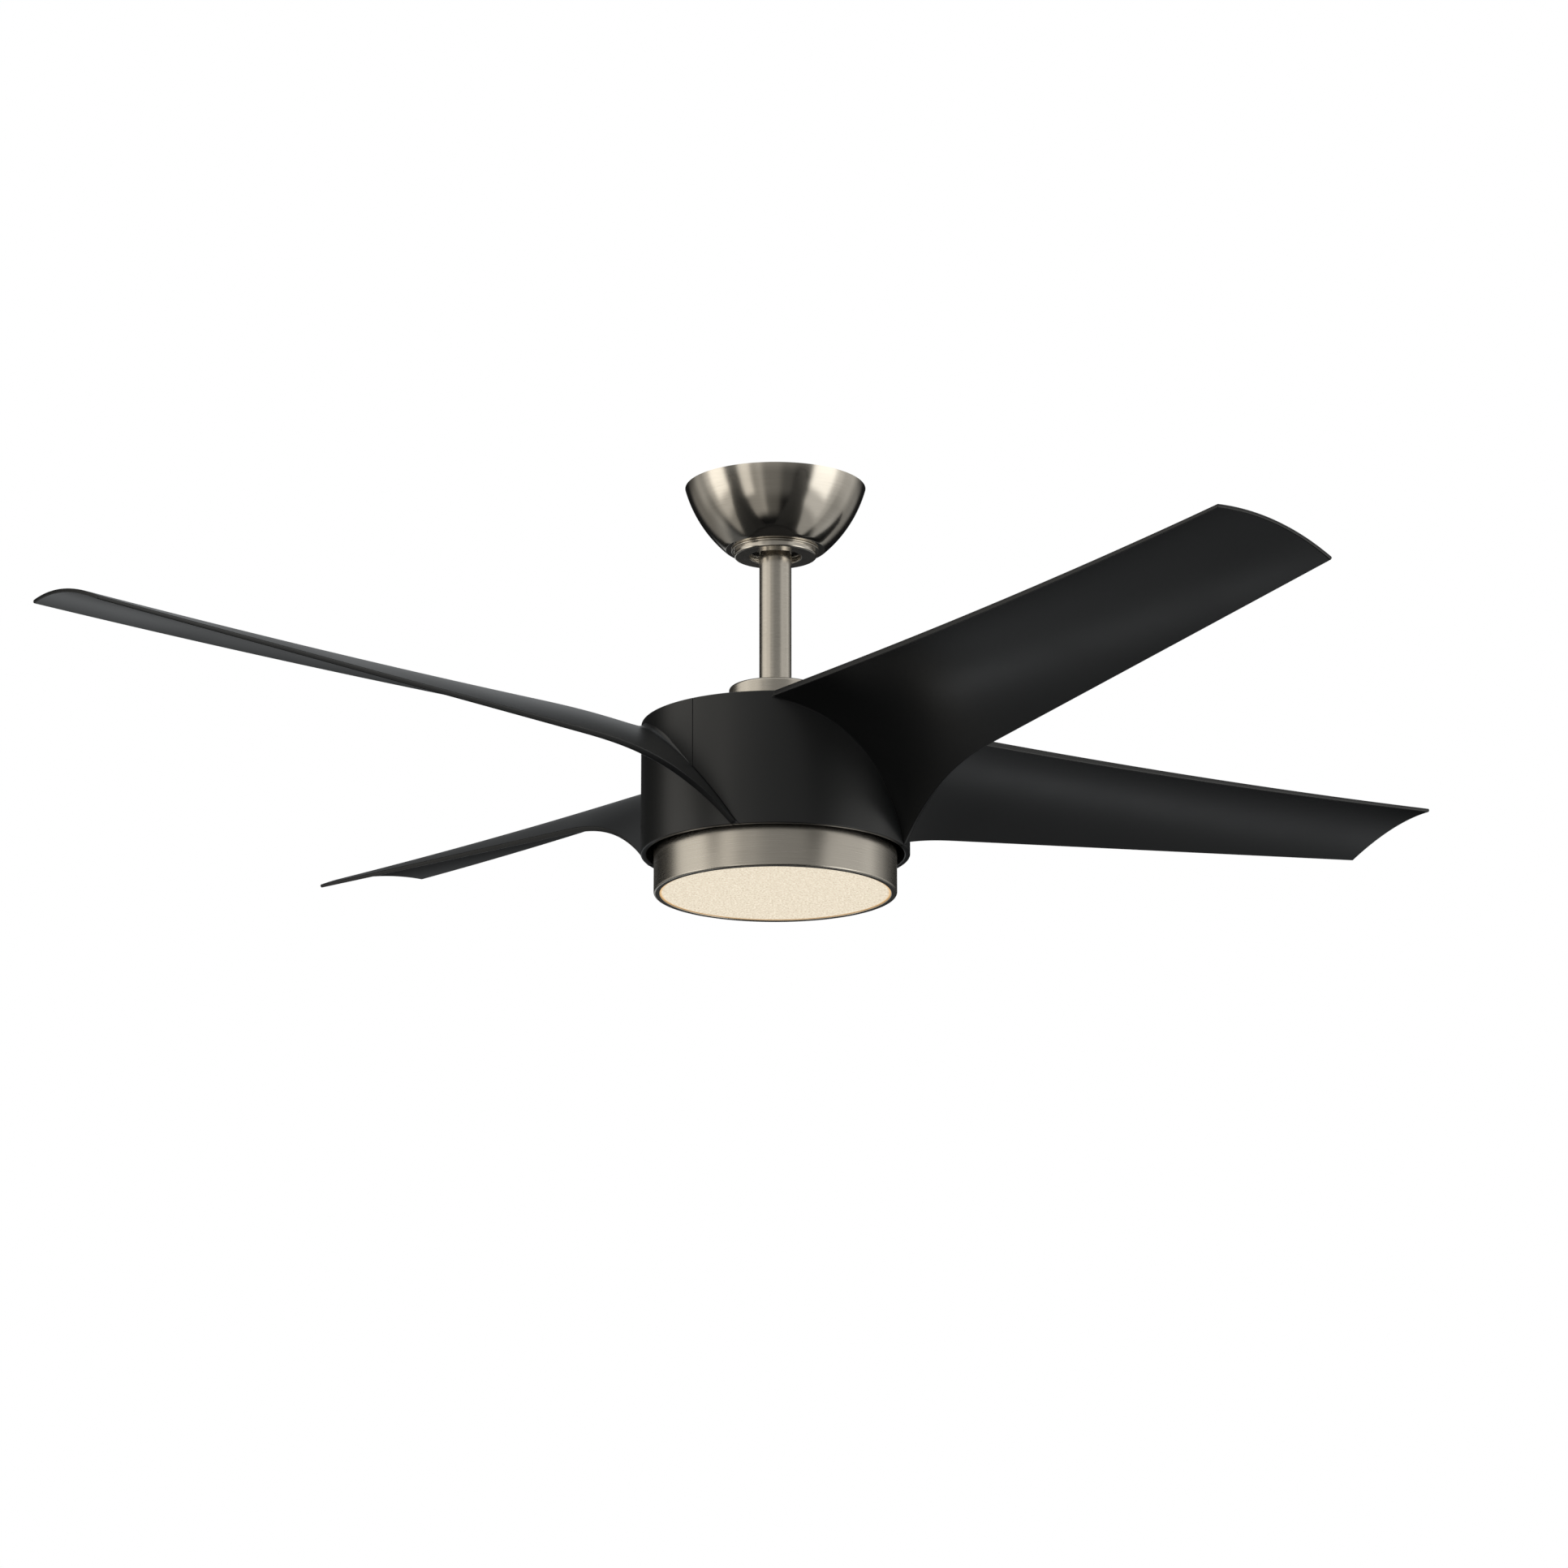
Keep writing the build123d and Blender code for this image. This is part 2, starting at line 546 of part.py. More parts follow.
def ball_groove(top):
    """Ring groove that the bearing balls run in."""
    groove = Torus(BALL_PITCH_R, BEARING_BALL_R + GROOVE_MORE)
    return Pos(0, 0, top - BEARING_H / 2) * groove


def outer_race(top):
    """Outer ring of a ball bearing, seated in the rotor."""
    inner = BEARING_R - RACE_WALL
    return tube(BEARING_R, inner, top, top - BEARING_H) - ball_groove(top)


def inner_race(top):
    """Inner ring of a ball bearing, seated on the shaft."""
    outer = SHAFT_R + RACE_WALL
    return tube(outer, SHAFT_R, top, top - BEARING_H) - ball_groove(top)


def bearing_balls():
    """Steel balls of both bearings."""
    balls = []
    for top in (UPPER_BEARING_TOP, LOWER_BEARING_TOP):
        ball = Pos(BALL_PITCH_R, 0, top - BEARING_H / 2) * Sphere(BEARING_BALL_R)
        balls += around(ball, BEARING_BALLS)
    return balls


def stator_core():
    """Laminated core pressed on the shaft, with one tooth for each coil."""
    top = STATOR_MID + STATOR_H / 2
    bottom = STATOR_MID - STATOR_H / 2
    core = tube(YOKE_R, SHAFT_R, top, bottom)
    well_out = YOKE_R - YOKE_T
    well_in = SHAFT_R + HUB_WALL
    core -= tube(well_out, well_in, top + OVERCUT, STATOR_MID + HUB_WEB / 2)
    core -= tube(well_out, well_in, STATOR_MID - HUB_WEB / 2, bottom - OVERCUT)
    rim = tube(STATOR_R, STATOR_R - SHOE_T, top, bottom)
    wedge = sector(STATOR_R + OVERCUT, -SHOE_DEG / 2, SHOE_DEG / 2, top, bottom)
    start = YOKE_R - YOKE_T / 2
    end = STATOR_R - SHOE_T / 2
    tooth = block((start + end) / 2, 0, top, end - start, TOOTH_W, STATOR_H)
    return joined([core] + around(tooth, STATOR_TEETH) + around(rim & wedge, STATOR_TEETH))


def stator_coils():
    """Copper coils, one wound on each stator tooth."""
    start = YOKE_R + COIL_GAP
    length = STATOR_R - SHOE_T - COIL_GAP - start
    outer = Box(length, COIL_W, STATOR_H + COIL_OVER)
    inner = Box(length + OVERCUT, TOOTH_W + COIL_SLACK, STATOR_H + COIL_SLACK)
    coil = Pos(start + length / 2, 0, STATOR_MID) * (outer - inner)
    coil = coil & sector(STATOR_R, -COIL_DEG / 2, COIL_DEG / 2, 0, -FAR)
    return around(coil, STATOR_TEETH)


def rotor_screw_holes():
    """Bars through the rotor's flange on the axes of its closing screws."""
    hole = Pos(ROTOR_SCREW_AT_R, 0, LID_TOP) * Cylinder(SMALL_SCREW_R, ROTOR_DROP)
    return around(hole, ROTOR_SCREWS)


def rotor_cup():
    """Cast cup: lower bearing seat, outer wall that carries the magnets, and a screw flange."""
    wall_top = LID_TOP - CASTING
    hub_hole = SHAFT_R + BEARING_HUB
    cup = tube(ROTOR_R, ROTOR_R - CASTING, wall_top, ROTOR_BOTTOM)
    cup += tube(ROTOR_R, hub_hole, ROTOR_BOTTOM + CASTING, ROTOR_BOTTOM)
    cup += tube(ROTOR_FLANGE_R, ROTOR_R - OVERCUT, wall_top, wall_top - CASTING)
    cup += tube(BEARING_R + BEARING_HUB, hub_hole, LOWER_BEARING_TOP - OVERCUT, ROTOR_BOTTOM)
    cup -= rod(BEARING_R, LOWER_BEARING_TOP, LOWER_BEARING_TOP - BEARING_H)
    for hole in rotor_screw_holes():
        cup -= hole
    return cup


def rotor_lid():
    """Cast lid: upper bearing seat and the threaded holes that the blade mouldings bolt to."""
    hub_hole = SHAFT_R + BEARING_HUB
    lid = tube(ROTOR_FLANGE_R, hub_hole, LID_TOP, LID_TOP - CASTING)
    seat_bottom = UPPER_BEARING_TOP - BEARING_H + OVERCUT
    lid += tube(BEARING_R + BEARING_HUB, hub_hole, LID_TOP - OVERCUT, seat_bottom)
    lid -= rod(BEARING_R, UPPER_BEARING_TOP, UPPER_BEARING_TOP - BEARING_H)
    for hole in rotor_screw_holes() + blade_screw_bars():
        lid -= hole
    return lid


def rotor_screws():
    """Screws that close the cup on the lid, from below."""
    seat = LID_TOP - 2 * CASTING
    one = Pos(ROTOR_SCREW_AT_R, 0, seat) * Rot(180, 0, 0) * screw(SMALL_SCREW_R, 2 * CASTING)
    return around(one, ROTOR_SCREWS)


def magnets():
    """Curved magnets bonded inside the rotor wall, alternately poled."""
    top = STATOR_MID + MAGNET_H / 2
    bottom = STATOR_MID - MAGNET_H / 2
    ring = tube(MAGNET_R, MAGNET_R - MAGNET_T, top, bottom)
    one = ring & sector(MAGNET_R + OVERCUT, -MAGNET_DEG / 2, MAGNET_DEG / 2, top, bottom)
    return around(one, MAGNETS)


# ---------------------------------------------------------------- blade mouldings
def blade_section_points(x):
    """Leading point, trailing point and camber control point of the mid-surface at span x.

    Each section is a parabola. The leading edge stays level and then curves up to the tip.
    The trailing edge is nearly straight, and sweeps down to the housing's lower rim at its root.
    """
    span = (x - ROOT_X) / (SWEEP_R - ROOT_X)
    left = max(0.0, 1 - span)
    root = max(0.0, (ROOT_SWEEP_END_X - x) / (ROOT_SWEEP_END_X - ROOT_X))
    root_sweep = root**ROOT_SWEEP_POWER
    lead_z = LEAD_ROOT_Z
    if x > LEAD_FLAT_X:
        lead_z += LEAD_TIP_RISE * ((x - LEAD_FLAT_X) / (SWEEP_R - LEAD_FLAT_X)) ** 2
    trail_z = TRAIL_TIP_Z - TRAIL_SLOPE * (SWEEP_R - x) - ROOT_SWEEP * root_sweep
    lead_y = -LEAD_TIP_Y - LEAD_TAPER * left**LEAD_TAPER_POWER
    trail_y = TRAIL_TIP_Y + TRAIL_TAPER * left + TRAIL_FLARE * root_sweep
    camber = CAMBER_TIP + CAMBER_TAPER * left + CAMBER_ROOT * root_sweep
    lead = Vector(lead_y, lead_z)
    trail = Vector(trail_y, trail_z)
    control = (lead + trail) * 0.5 + Vector(0, 2 * camber)
    return lead, trail, control


def blade_thickness(x):
    """Thickness of the blade at span x."""
    span = max(0.0, (x - ROOT_X) / (SWEEP_R - ROOT_X))
    return BLADE_ROOT_T + (BLADE_TIP_T - BLADE_ROOT_T) * span


def blade_section(x):
    """Closed blade section at span x: the parabola offset to both sides."""
    lead, trail, control = blade_section_points(x)
    half = blade_thickness(x) / 2
    lead_way = (control - lead).normalized()
    trail_way = (trail - control).normalized()
    lead_up = Vector(-lead_way.Y, lead_way.X)
    trail_up = Vector(-trail_way.Y, trail_way.X)
    mid_up = (lead_up + trail_up) * (1 / (1 + lead_up.dot(trail_up)))
    above = [lead + lead_up * half, control + mid_up * half, trail + trail_up * half]
    below = [lead - lead_up * half, control - mid_up * half, trail - trail_up * half]

    def at(point):
        return (x, point.X, point.Y)

    return make_face([
        Bezier(*[at(p) for p in above]),
        Line(at(above[2]), at(below[2])),
        Bezier(*[at(p) for p in reversed(below)]),
        Line(at(below[0]), at(above[0])),
    ])


def blade_top_on_wall(y):
    """Height of the blade's upper surface where it meets the housing wall at y."""
    x = sqrt(HOUSING_R**2 - y**2)
    lead, trail, control = blade_section_points(x)
    share = (y - lead.X) / (trail.X - lead.X)
    height = lead.Y * (1 - share) ** 2 + 2 * control.Y * share * (1 - share) + trail.Y * share**2
    slope = 2 * (1 - share) * (control.Y - lead.Y) + 2 * share * (trail.Y - control.Y)
    slope /= trail.X - lead.X
    return height + blade_thickness(x) / 2 * sqrt(1 + slope**2)


def under_root(lift):
    """Prism below the blade's upper root line, from just inside the seam to the lower rim."""
    seam_y = HOUSING_R * sin(radians(SEAM_DEG)) - HOUSING_WALL
    end_y = ROOT_Y + BLADE_ROOT_T
    steps = 6
    ys = [seam_y + (end_y - seam_y) * i / steps for i in range(steps + 1)]
    line = [(0, y, blade_top_on_wall(y) + lift) for y in ys]
    low = HOUSING_BOTTOM - LIGHT_SHOWS
    face = make_face([
        Spline(*line),
        Line(line[-1], (0, end_y, low)),
        Line((0, end_y, low), (0, seam_y, low)),
        Line((0, seam_y, low), line[0]),
    ])
    return extrude(face, HOUSING_R + OVERCUT, dir=(1, 0, 0))


def blade_screw_degs():
    """Angles of the two screws of each blade, in the blade's own frame."""
    return (FLANGE_MIDDLE_DEG - BLADE_SCREW_DEG, FLANGE_MIDDLE_DEG + BLADE_SCREW_DEG)


def blade_screw_bars():
    """Straight bars on every blade screw's axis, in the fan's frame."""
    one = Pos(BLADE_SCREW_AT_R, 0, LID_TOP) * Cylinder(LARGE_SCREW_R, ROTOR_DROP)
    bars = []
    for place in blade_screw_degs():
        bars += around(one, BLADE_COUNT, FIRST_BLADE_DEG + place)
    return bars


def blade_stations():
    """Spans of the blade's sections: close together where the root sweeps, then wider apart."""
    start = ROOT_X - LOFT_IN
    bend = ROOT_SWEEP_END_X - start
    plain = SWEEP_R + LOFT_OUT - ROOT_SWEEP_END_X
    near = [start + bend * share for share in (0, 0.09, 0.2, 0.34, 0.53, 0.75, 1)]
    return near + [ROOT_SWEEP_END_X + plain * share for share in (0.25, 0.5, 0.75, 1)]


def blade_moulding():
    """One blade with its quarter of the housing wall and its bolting flange, centred on +X."""
    wall = tube(HOUSING_R, WALL_IN_R, HOUSING_TOP, HOUSING_BOTTOM)
    back_deg = SEAM_DEG - BLADE_SHARE_DEG + SEAM_GAP_DEG
    quarter = sector(HOUSING_R + OVERCUT, back_deg, SEAM_DEG, HOUSING_TOP, HOUSING_BOTTOM)
    panel = wall & quarter
    panel -= Rot(0, 0, -BLADE_SHARE_DEG) * under_root(2 * SEAM)
    foot = wall & under_root(-2 * SEAM)
    blade = loft([blade_section(x) for x in blade_stations()])
    blade = blade & rod(SWEEP_R, 0, HOUSING_BOTTOM)
    blade -= rod(HOUSING_R - HOUSING_WALL / 3, 0, -FAR)
    flange = tube(WALL_IN_R + OVERCUT, ROTOR_R - FLANGE_REACH, FLANGE_TOP, LID_TOP) & quarter
    post_top = HOUSING_TOP - TOP_PLATE_DROP - SHEET
    to_post = Rot(0, 0, FLANGE_MIDDLE_DEG) * Pos(POST_AT_R, 0, 0)
    body = panel + foot + blade + flange + to_post * rod(POST_R, post_top, LID_TOP)
    body -= to_post * rod(SMALL_SCREW_R, 0, post_top - POST_SCREW_L)
    for place in blade_screw_degs():
        body -= Rot(0, 0, place) * Pos(BLADE_SCREW_AT_R, 0, LID_TOP) * Cylinder(LARGE_SCREW_R, ROTOR_DROP)
    return body


def blade_screws():
    """Screws that hold each moulding's flange on the rotor lid, two for each blade."""
    one = Pos(BLADE_SCREW_AT_R, 0, FLANGE_TOP) * screw(LARGE_SCREW_R, FLANGE_T + CASTING)
    screws = []
    for place in blade_screw_degs():
        screws += around(one, BLADE_COUNT, FIRST_BLADE_DEG + place)
    return screws


def top_plate():
    """Pressed disc that closes the housing, recessed below the rim."""
    top = HOUSING_TOP - TOP_PLATE_DROP
    plate = tube(WALL_IN_R - 2 * SLIP, COVER_R + TOP_PLATE_GAP, top, top - SHEET)
    hole = Pos(POST_AT_R, 0, top) * Cylinder(SMALL_SCREW_R, 4 * SHEET)
    for cut in around(hole, BLADE_COUNT, FIRST_BLADE_DEG + FLANGE_MIDDLE_DEG):
        plate -= cut
    return plate


def top_plate_screws():
    """One screw into each moulding's post."""
    top = HOUSING_TOP - TOP_PLATE_DROP
    one = Pos(POST_AT_R, 0, top) * screw(SMALL_SCREW_R, POST_SCREW_L)
    return around(one, BLADE_COUNT, FIRST_BLADE_DEG + FLANGE_MIDDLE_DEG)


# ---------------------------------------------------------------- light
def ring_screw_holes():
    """Bars on the axes of the screws between the ring and the light mount plate."""
    hole = Pos(RING_SCREW_AT_R, 0, RING_TOP) * Cylinder(LARGE_SCREW_R, 8 * PLATE)
    return around(hole, RING_SCREWS, RING_SCREW_DEG)


def light_mount_plate():
    """Steel disc clamped to the shaft's shoulder, which carries the whole light."""
    plate = tube(LIGHT_PLATE_R, SHAFT_TAIL_R, LIGHT_PLATE_TOP, RING_TOP)
    for hole in ring_screw_holes():
        plate -= hole
    return plate


def shaft_nut():
    """Hexagon nut under the light mount plate."""
    hexagon = RegularPolygon(SHAFT_TAIL_R + NUT_OVER, 6)
    nut = extrude(Pos(0, 0, RING_TOP - NUT_H) * hexagon, NUT_H, dir=(0, 0, 1))
    return nut - rod(SHAFT_TAIL_R, 0, -FAR)


def light_ring():
    """Spun nickel ring: top flange, outer wall, bottom lip and the upstand the lens locks on."""
    wall_in = LIGHT_R - RING_WALL
    lip_in = LIGHT_R - RING_LIP
    upstand_top = LIGHT_BOTTOM + UPSTAND_H
    ring = rod(LIGHT_R, RING_TOP, LIGHT_BOTTOM)
    ring = fillet(ring.edges().group_by(Axis.Z)[0], RING_EDGE)
    ring -= rod(wall_in, RING_TOP - RING_WALL, LIGHT_BOTTOM + RING_LIP_T)
    ring -= rod(STANDOFF_AT_R - RING_HOLE_IN, 0, -FAR)
    ring -= rod(lip_in, upstand_top, LIGHT_BOTTOM - OVERCUT)
    upstand = tube(lip_in + UPSTAND_T, lip_in, upstand_top, LIGHT_BOTTOM + RING_LIP_T / 2)
    half = TAB_DEG / 2 + TAB_EASE_DEG
    low = LIGHT_BOTTOM + RING_LIP_T + OVERCUT
    notch = sector(wall_in, -LENS_TWIST - half, -LENS_TWIST + half, RING_TOP, low)
    for cut in around(notch, LENS_TABS):
        upstand -= cut
    ring += upstand
    stud = Pos(STANDOFF_AT_R, 0, RING_TOP) * Cylinder(SMALL_SCREW_R, 8 * RING_WALL)
    for cut in ring_screw_holes() + around(stud, RING_SCREWS, STANDOFF_DEG):
        ring -= cut
    return ring


def lens():
    """Frosted lens: flat disc, thin skirt and three locking tabs that rest on the upstand."""
    face_z = LIGHT_BOTTOM + LENS_RECESS
    disc = rod(LIGHT_R - RING_LIP - SLIP, face_z + LENS_T, face_z)
    disc = fillet(disc.edges().group_by(Axis.Z)[0], LENS_EDGE)
    tab_z = LIGHT_BOTTOM + UPSTAND_H + SLIP
    skirt = tube(LENS_SKIRT_R, LENS_SKIRT_R - LENS_SKIRT_WALL, tab_z + TAB_T, face_z + OVERCUT)
    tab = tube(LIGHT_R - RING_WALL - 2 * SLIP, LENS_SKIRT_R - OVERCUT, tab_z + TAB_T, tab_z)
    tab = tab & sector(LIGHT_R, -TAB_DEG / 2, TAB_DEG / 2, tab_z + TAB_T, tab_z)
    return joined([disc, skirt] + around(tab, LENS_TABS))


def ring_screws():
    """Screws up through the ring's flange into the light mount plate."""
    seat = RING_TOP - RING_WALL
    one = screw(LARGE_SCREW_R, RING_WALL + PLATE)
    one = Pos(RING_SCREW_AT_R, 0, seat) * Rot(180, 0, 0) * one
    return around(one, RING_SCREWS, RING_SCREW_DEG)


def led_standoffs():
    """Hexagon spacers between the ring's flange and the heat plate."""
    length = RING_TOP - RING_WALL - HEAT_PLATE_TOP
    hexagon = Pos(STANDOFF_AT_R, 0, HEAT_PLATE_TOP) * RegularPolygon(STANDOFF_HEX_R, 6)
    return around(extrude(hexagon, length, dir=(0, 0, 1)), RING_SCREWS, STANDOFF_DEG)


def heat_plate():
    """Aluminium disc that cools the LED board."""
    return tube(LIGHT_R - HEAT_PLATE_IN, LEAD_HOLE_R, HEAT_PLATE_TOP, BOARD_TOP)


def led_board():
    """White circuit board under the heat plate."""
    return tube(BOARD_R, LEAD_HOLE_R, BOARD_TOP, BOARD_TOP - BOARD_T)


def led_chips():
    """LED packages in evenly spaced rings on the board."""
    step = (BOARD_R - CHIP_EDGE - CHIP_FIRST_R) / (len(CHIP_RINGS) - 1)
    chips = []
    for ring, count in enumerate(CHIP_RINGS):
        radius = CHIP_FIRST_R + step * ring
        chip = block(radius, 0, BOARD_TOP - BOARD_T, CHIP_L, CHIP_W, CHIP_T)
        chips += around(chip, count, CHIP_DEG)
    return chips


def led_driver():
    """Driver box on top of the heat plate, beside the shaft's tail."""
    box = block(0, DRIVER_Y, HEAT_PLATE_TOP + DRIVER_H, DRIVER_L, DRIVER_W, DRIVER_H)
    return fillet(box.edges().filter_by(Axis.Z), DRIVER_CORNER)


def driver_clips():
    """Two folded clips that hold the driver on the heat plate."""
    x = DRIVER_L / 2 + CLIP_T / 2 + SLIP
    clip = block(x, DRIVER_Y, HEAT_PLATE_TOP + DRIVER_H, CLIP_T, CLIP_W, DRIVER_H)
    clip += block(x + CLIP_FOOT / 2, DRIVER_Y, HEAT_PLATE_TOP + CLIP_T, CLIP_FOOT, CLIP_W, CLIP_T)
    return [clip, mirror(clip, Plane.YZ)]


# ---------------------------------------------------------------- writing
def write(name, shape):
    """Writes one node. A list is a group of separate solids."""
    if isinstance(shape, list):
        shape = Compound(children=[solid for item in shape for solid in item.solids()])
    export_step(shape, f"parts/{name}.step")


def main():
    os.makedirs("parts", exist_ok=True)
    nodes = {
        "hanger_bracket": hanger_bracket(),
        "ground_screw": ground_screw(),
        "canopy": canopy(),
        "canopy_screws": canopy_screws(),
        "canopy_cap": canopy_cap(),
        "receiver_module": receiver_module(),
        "wire_connectors": wire_connectors(),
        "hanger_ball": hanger_ball(),
        "ball_cross_pin": ball_cross_pin(),
        "ball_set_screw": ball_set_screw(),
        "downrod": downrod(),
        "motor_coupling": motor_coupling(),
        "coupling_pin": coupling_pin(),
        "pin_clip": pin_clip(),
        "coupling_set_screws": coupling_set_screws(),
        "coupling_cover": coupling_cover(),
        "motor_shaft": motor_shaft(),
        "upper_inner_race": inner_race(UPPER_BEARING_TOP),
        "lower_inner_race": inner_race(LOWER_BEARING_TOP),
        "upper_outer_race": outer_race(UPPER_BEARING_TOP),
        "lower_outer_race": outer_race(LOWER_BEARING_TOP),
        "bearing_balls": bearing_balls(),
        "stator_core": stator_core(),
        "stator_coils": stator_coils(),
        "rotor_cup": rotor_cup(),
        "rotor_lid": rotor_lid(),
        "rotor_screws": rotor_screws(),
        "magnets": magnets(),
        "blade_screws": blade_screws(),
        "top_plate": top_plate(),
        "top_plate_screws": top_plate_screws(),
        "light_mount_plate": light_mount_plate(),
        "shaft_nut": shaft_nut(),
        "light_ring": light_ring(),
        "ring_screws": ring_screws(),
        "led_standoffs": led_standoffs(),
        "heat_plate": heat_plate(),
        "led_board": led_board(),
        "led_chips": led_chips(),
        "led_driver": led_driver(),
        "driver_clips": driver_clips(),
        "lens": lens(),
    }
    moulding = blade_moulding()
    for i, turned_one in enumerate(around(moulding, BLADE_COUNT, FIRST_BLADE_DEG)):
        nodes[f"blade_{i + 1}"] = turned_one
    for name, shape in nodes.items():
        write(name, shape)


if __name__ == "__main__":
    main()
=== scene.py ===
import bpy
import numpy as np
from math import pi, radians
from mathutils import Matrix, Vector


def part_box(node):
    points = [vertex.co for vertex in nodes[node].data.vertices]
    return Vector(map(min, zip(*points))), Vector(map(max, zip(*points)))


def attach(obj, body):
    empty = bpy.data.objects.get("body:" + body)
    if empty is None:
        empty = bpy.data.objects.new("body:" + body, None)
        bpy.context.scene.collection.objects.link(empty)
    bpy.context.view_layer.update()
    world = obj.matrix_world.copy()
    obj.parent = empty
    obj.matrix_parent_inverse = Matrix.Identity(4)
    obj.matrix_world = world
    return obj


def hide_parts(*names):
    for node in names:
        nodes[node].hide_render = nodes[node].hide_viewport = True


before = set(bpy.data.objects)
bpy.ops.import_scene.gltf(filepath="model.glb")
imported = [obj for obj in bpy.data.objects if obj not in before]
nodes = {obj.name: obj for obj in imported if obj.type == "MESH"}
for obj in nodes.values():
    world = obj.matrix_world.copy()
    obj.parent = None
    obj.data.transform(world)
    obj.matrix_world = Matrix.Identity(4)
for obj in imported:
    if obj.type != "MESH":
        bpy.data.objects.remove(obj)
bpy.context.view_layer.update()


# ---------------------------------------------------------------- studio and camera
# A pale floor far under the hanging fan, and a white surround. Soft panels of light, wide and
# narrow, stand at both sides, above, below and behind. The nickel reflects the gaps between.
FLOOR_Z = -8.5
FLOOR_REACH = 22
CAMERA_BACK = 4.7928
CAMERA_Z = -1.5084
CAMERA_PITCH = 14.662
CAMERA_LENS = 137.96
CAMERA_SHIFT = 0.0055


floor_mesh = bpy.data.meshes.new("floor")
floor_sides = [(-1, -1), (1, -1), (1, 1), (-1, 1)]
floor_grid = np.array([(FLOOR_REACH * x, FLOOR_REACH * y, FLOOR_Z) for x, y in floor_sides])
floor_mesh.from_pydata(floor_grid.tolist(), [], [(0, 1, 2, 3)])
floor = bpy.data.objects.new("floor", floor_mesh)
bpy.context.collection.objects.link(floor)
floor_paint = bpy.data.materials.new("floor_paint")
floor_paint.use_nodes = True
floor_paint.node_tree.nodes["Principled BSDF"].inputs["Base Color"].default_value = (
    0.86, 0.85, 0.84, 1)
floor_paint.node_tree.nodes["Principled BSDF"].inputs["Roughness"].default_value = 0.8
floor_paint.node_tree.nodes["Principled BSDF"].inputs["Emission Color"].default_value = (
    1, 0.99, 0.97, 1)
floor_paint.node_tree.nodes["Principled BSDF"].inputs["Emission Strength"].default_value = 0.42
floor_mesh.materials.append(floor_paint)
floor.visible_glossy = False
floor.visible_diffuse = False

world = bpy.data.worlds.new("studio")
bpy.context.scene.world = world
world.use_nodes = True
air = world.node_tree
air.nodes.clear()


def math_node(tree, operation, first, second=None, third=None):
    """One math node, fed with sockets or plain numbers."""
    node = tree.nodes.new("ShaderNodeMath")
    node.operation = operation
    for index, value in enumerate((first, second, third)):
        if value is None:
            continue
        if isinstance(value, (int, float)):
            node.inputs[index].default_value = value
        else:
            tree.links.new(value, node.inputs[index])
    return node.outputs[0]


def smooth_step(tree, value, start, end):
    """0 before start, 1 past end, with a smooth run between. An end below start turns it round."""
    spread = tree.nodes.new("ShaderNodeMapRange")
    spread.interpolation_type = "SMOOTHSTEP"
    tree.links.new(value, spread.inputs["Value"])
    low, high = (0.0, 1.0) if start < end else (1.0, 0.0)
    spread.inputs["From Min"].default_value = min(start, end)
    spread.inputs["From Max"].default_value = max(start, end)
    spread.inputs["To Min"].default_value = low
    spread.inputs["To Max"].default_value = high
    return spread.outputs["Result"]


sky_way = air.nodes.new("ShaderNodeTexCoord")
sky_split = air.nodes.new("ShaderNodeSeparateXYZ")
air.links.new(sky_way.outputs["Generated"], sky_split.inputs[0])
way_x, way_y, way_z = sky_split.outputs
level_squared = math_node(air, "SUBTRACT", 1.0, math_node(air, "MULTIPLY", way_z, way_z))
level = math_node(air, "SQRT", math_node(air, "MAXIMUM", level_squared, 1e-6))
height_deg = math_node(air, "MULTIPLY", math_node(air, "ARCSINE", way_z), 180 / pi)


def glow_panel(azimuth, half_width, low, high, soft, strength, tint):
    """Soft-edged light panel, round its azimuth from the front, between two heights in degrees."""
    a = radians(azimuth)
    along = math_node(air, "MULTIPLY_ADD", way_x, float(np.sin(a)),
                      math_node(air, "MULTIPLY", way_y, -float(np.cos(a))))
    cosine = math_node(air, "DIVIDE", along, level)
    cosine = math_node(air, "MINIMUM", math_node(air, "MAXIMUM", cosine, -1.0), 1.0)
    off = math_node(air, "MULTIPLY", math_node(air, "ARCCOSINE", cosine), 180 / pi)
    mask = smooth_step(air, off, half_width + soft, half_width - soft)
    mask = math_node(air, "MULTIPLY", mask, smooth_step(air, height_deg, low - soft, low + soft))
    mask = math_node(air, "MULTIPLY", mask, smooth_step(air, height_deg, high + soft, high - soft))
    shade = air.nodes.new("ShaderNodeVectorMath")
    shade.operation = "SCALE"
    shade.inputs[0].default_value = [strength * part for part in tint]
    air.links.new(mask, shade.inputs["Scale"])
    return shade.outputs[0]


WARM = (1.0, 0.965, 0.895)
PLAIN = (1.0, 0.99, 0.955)
COOL = (0.97, 1.0, 1.02)
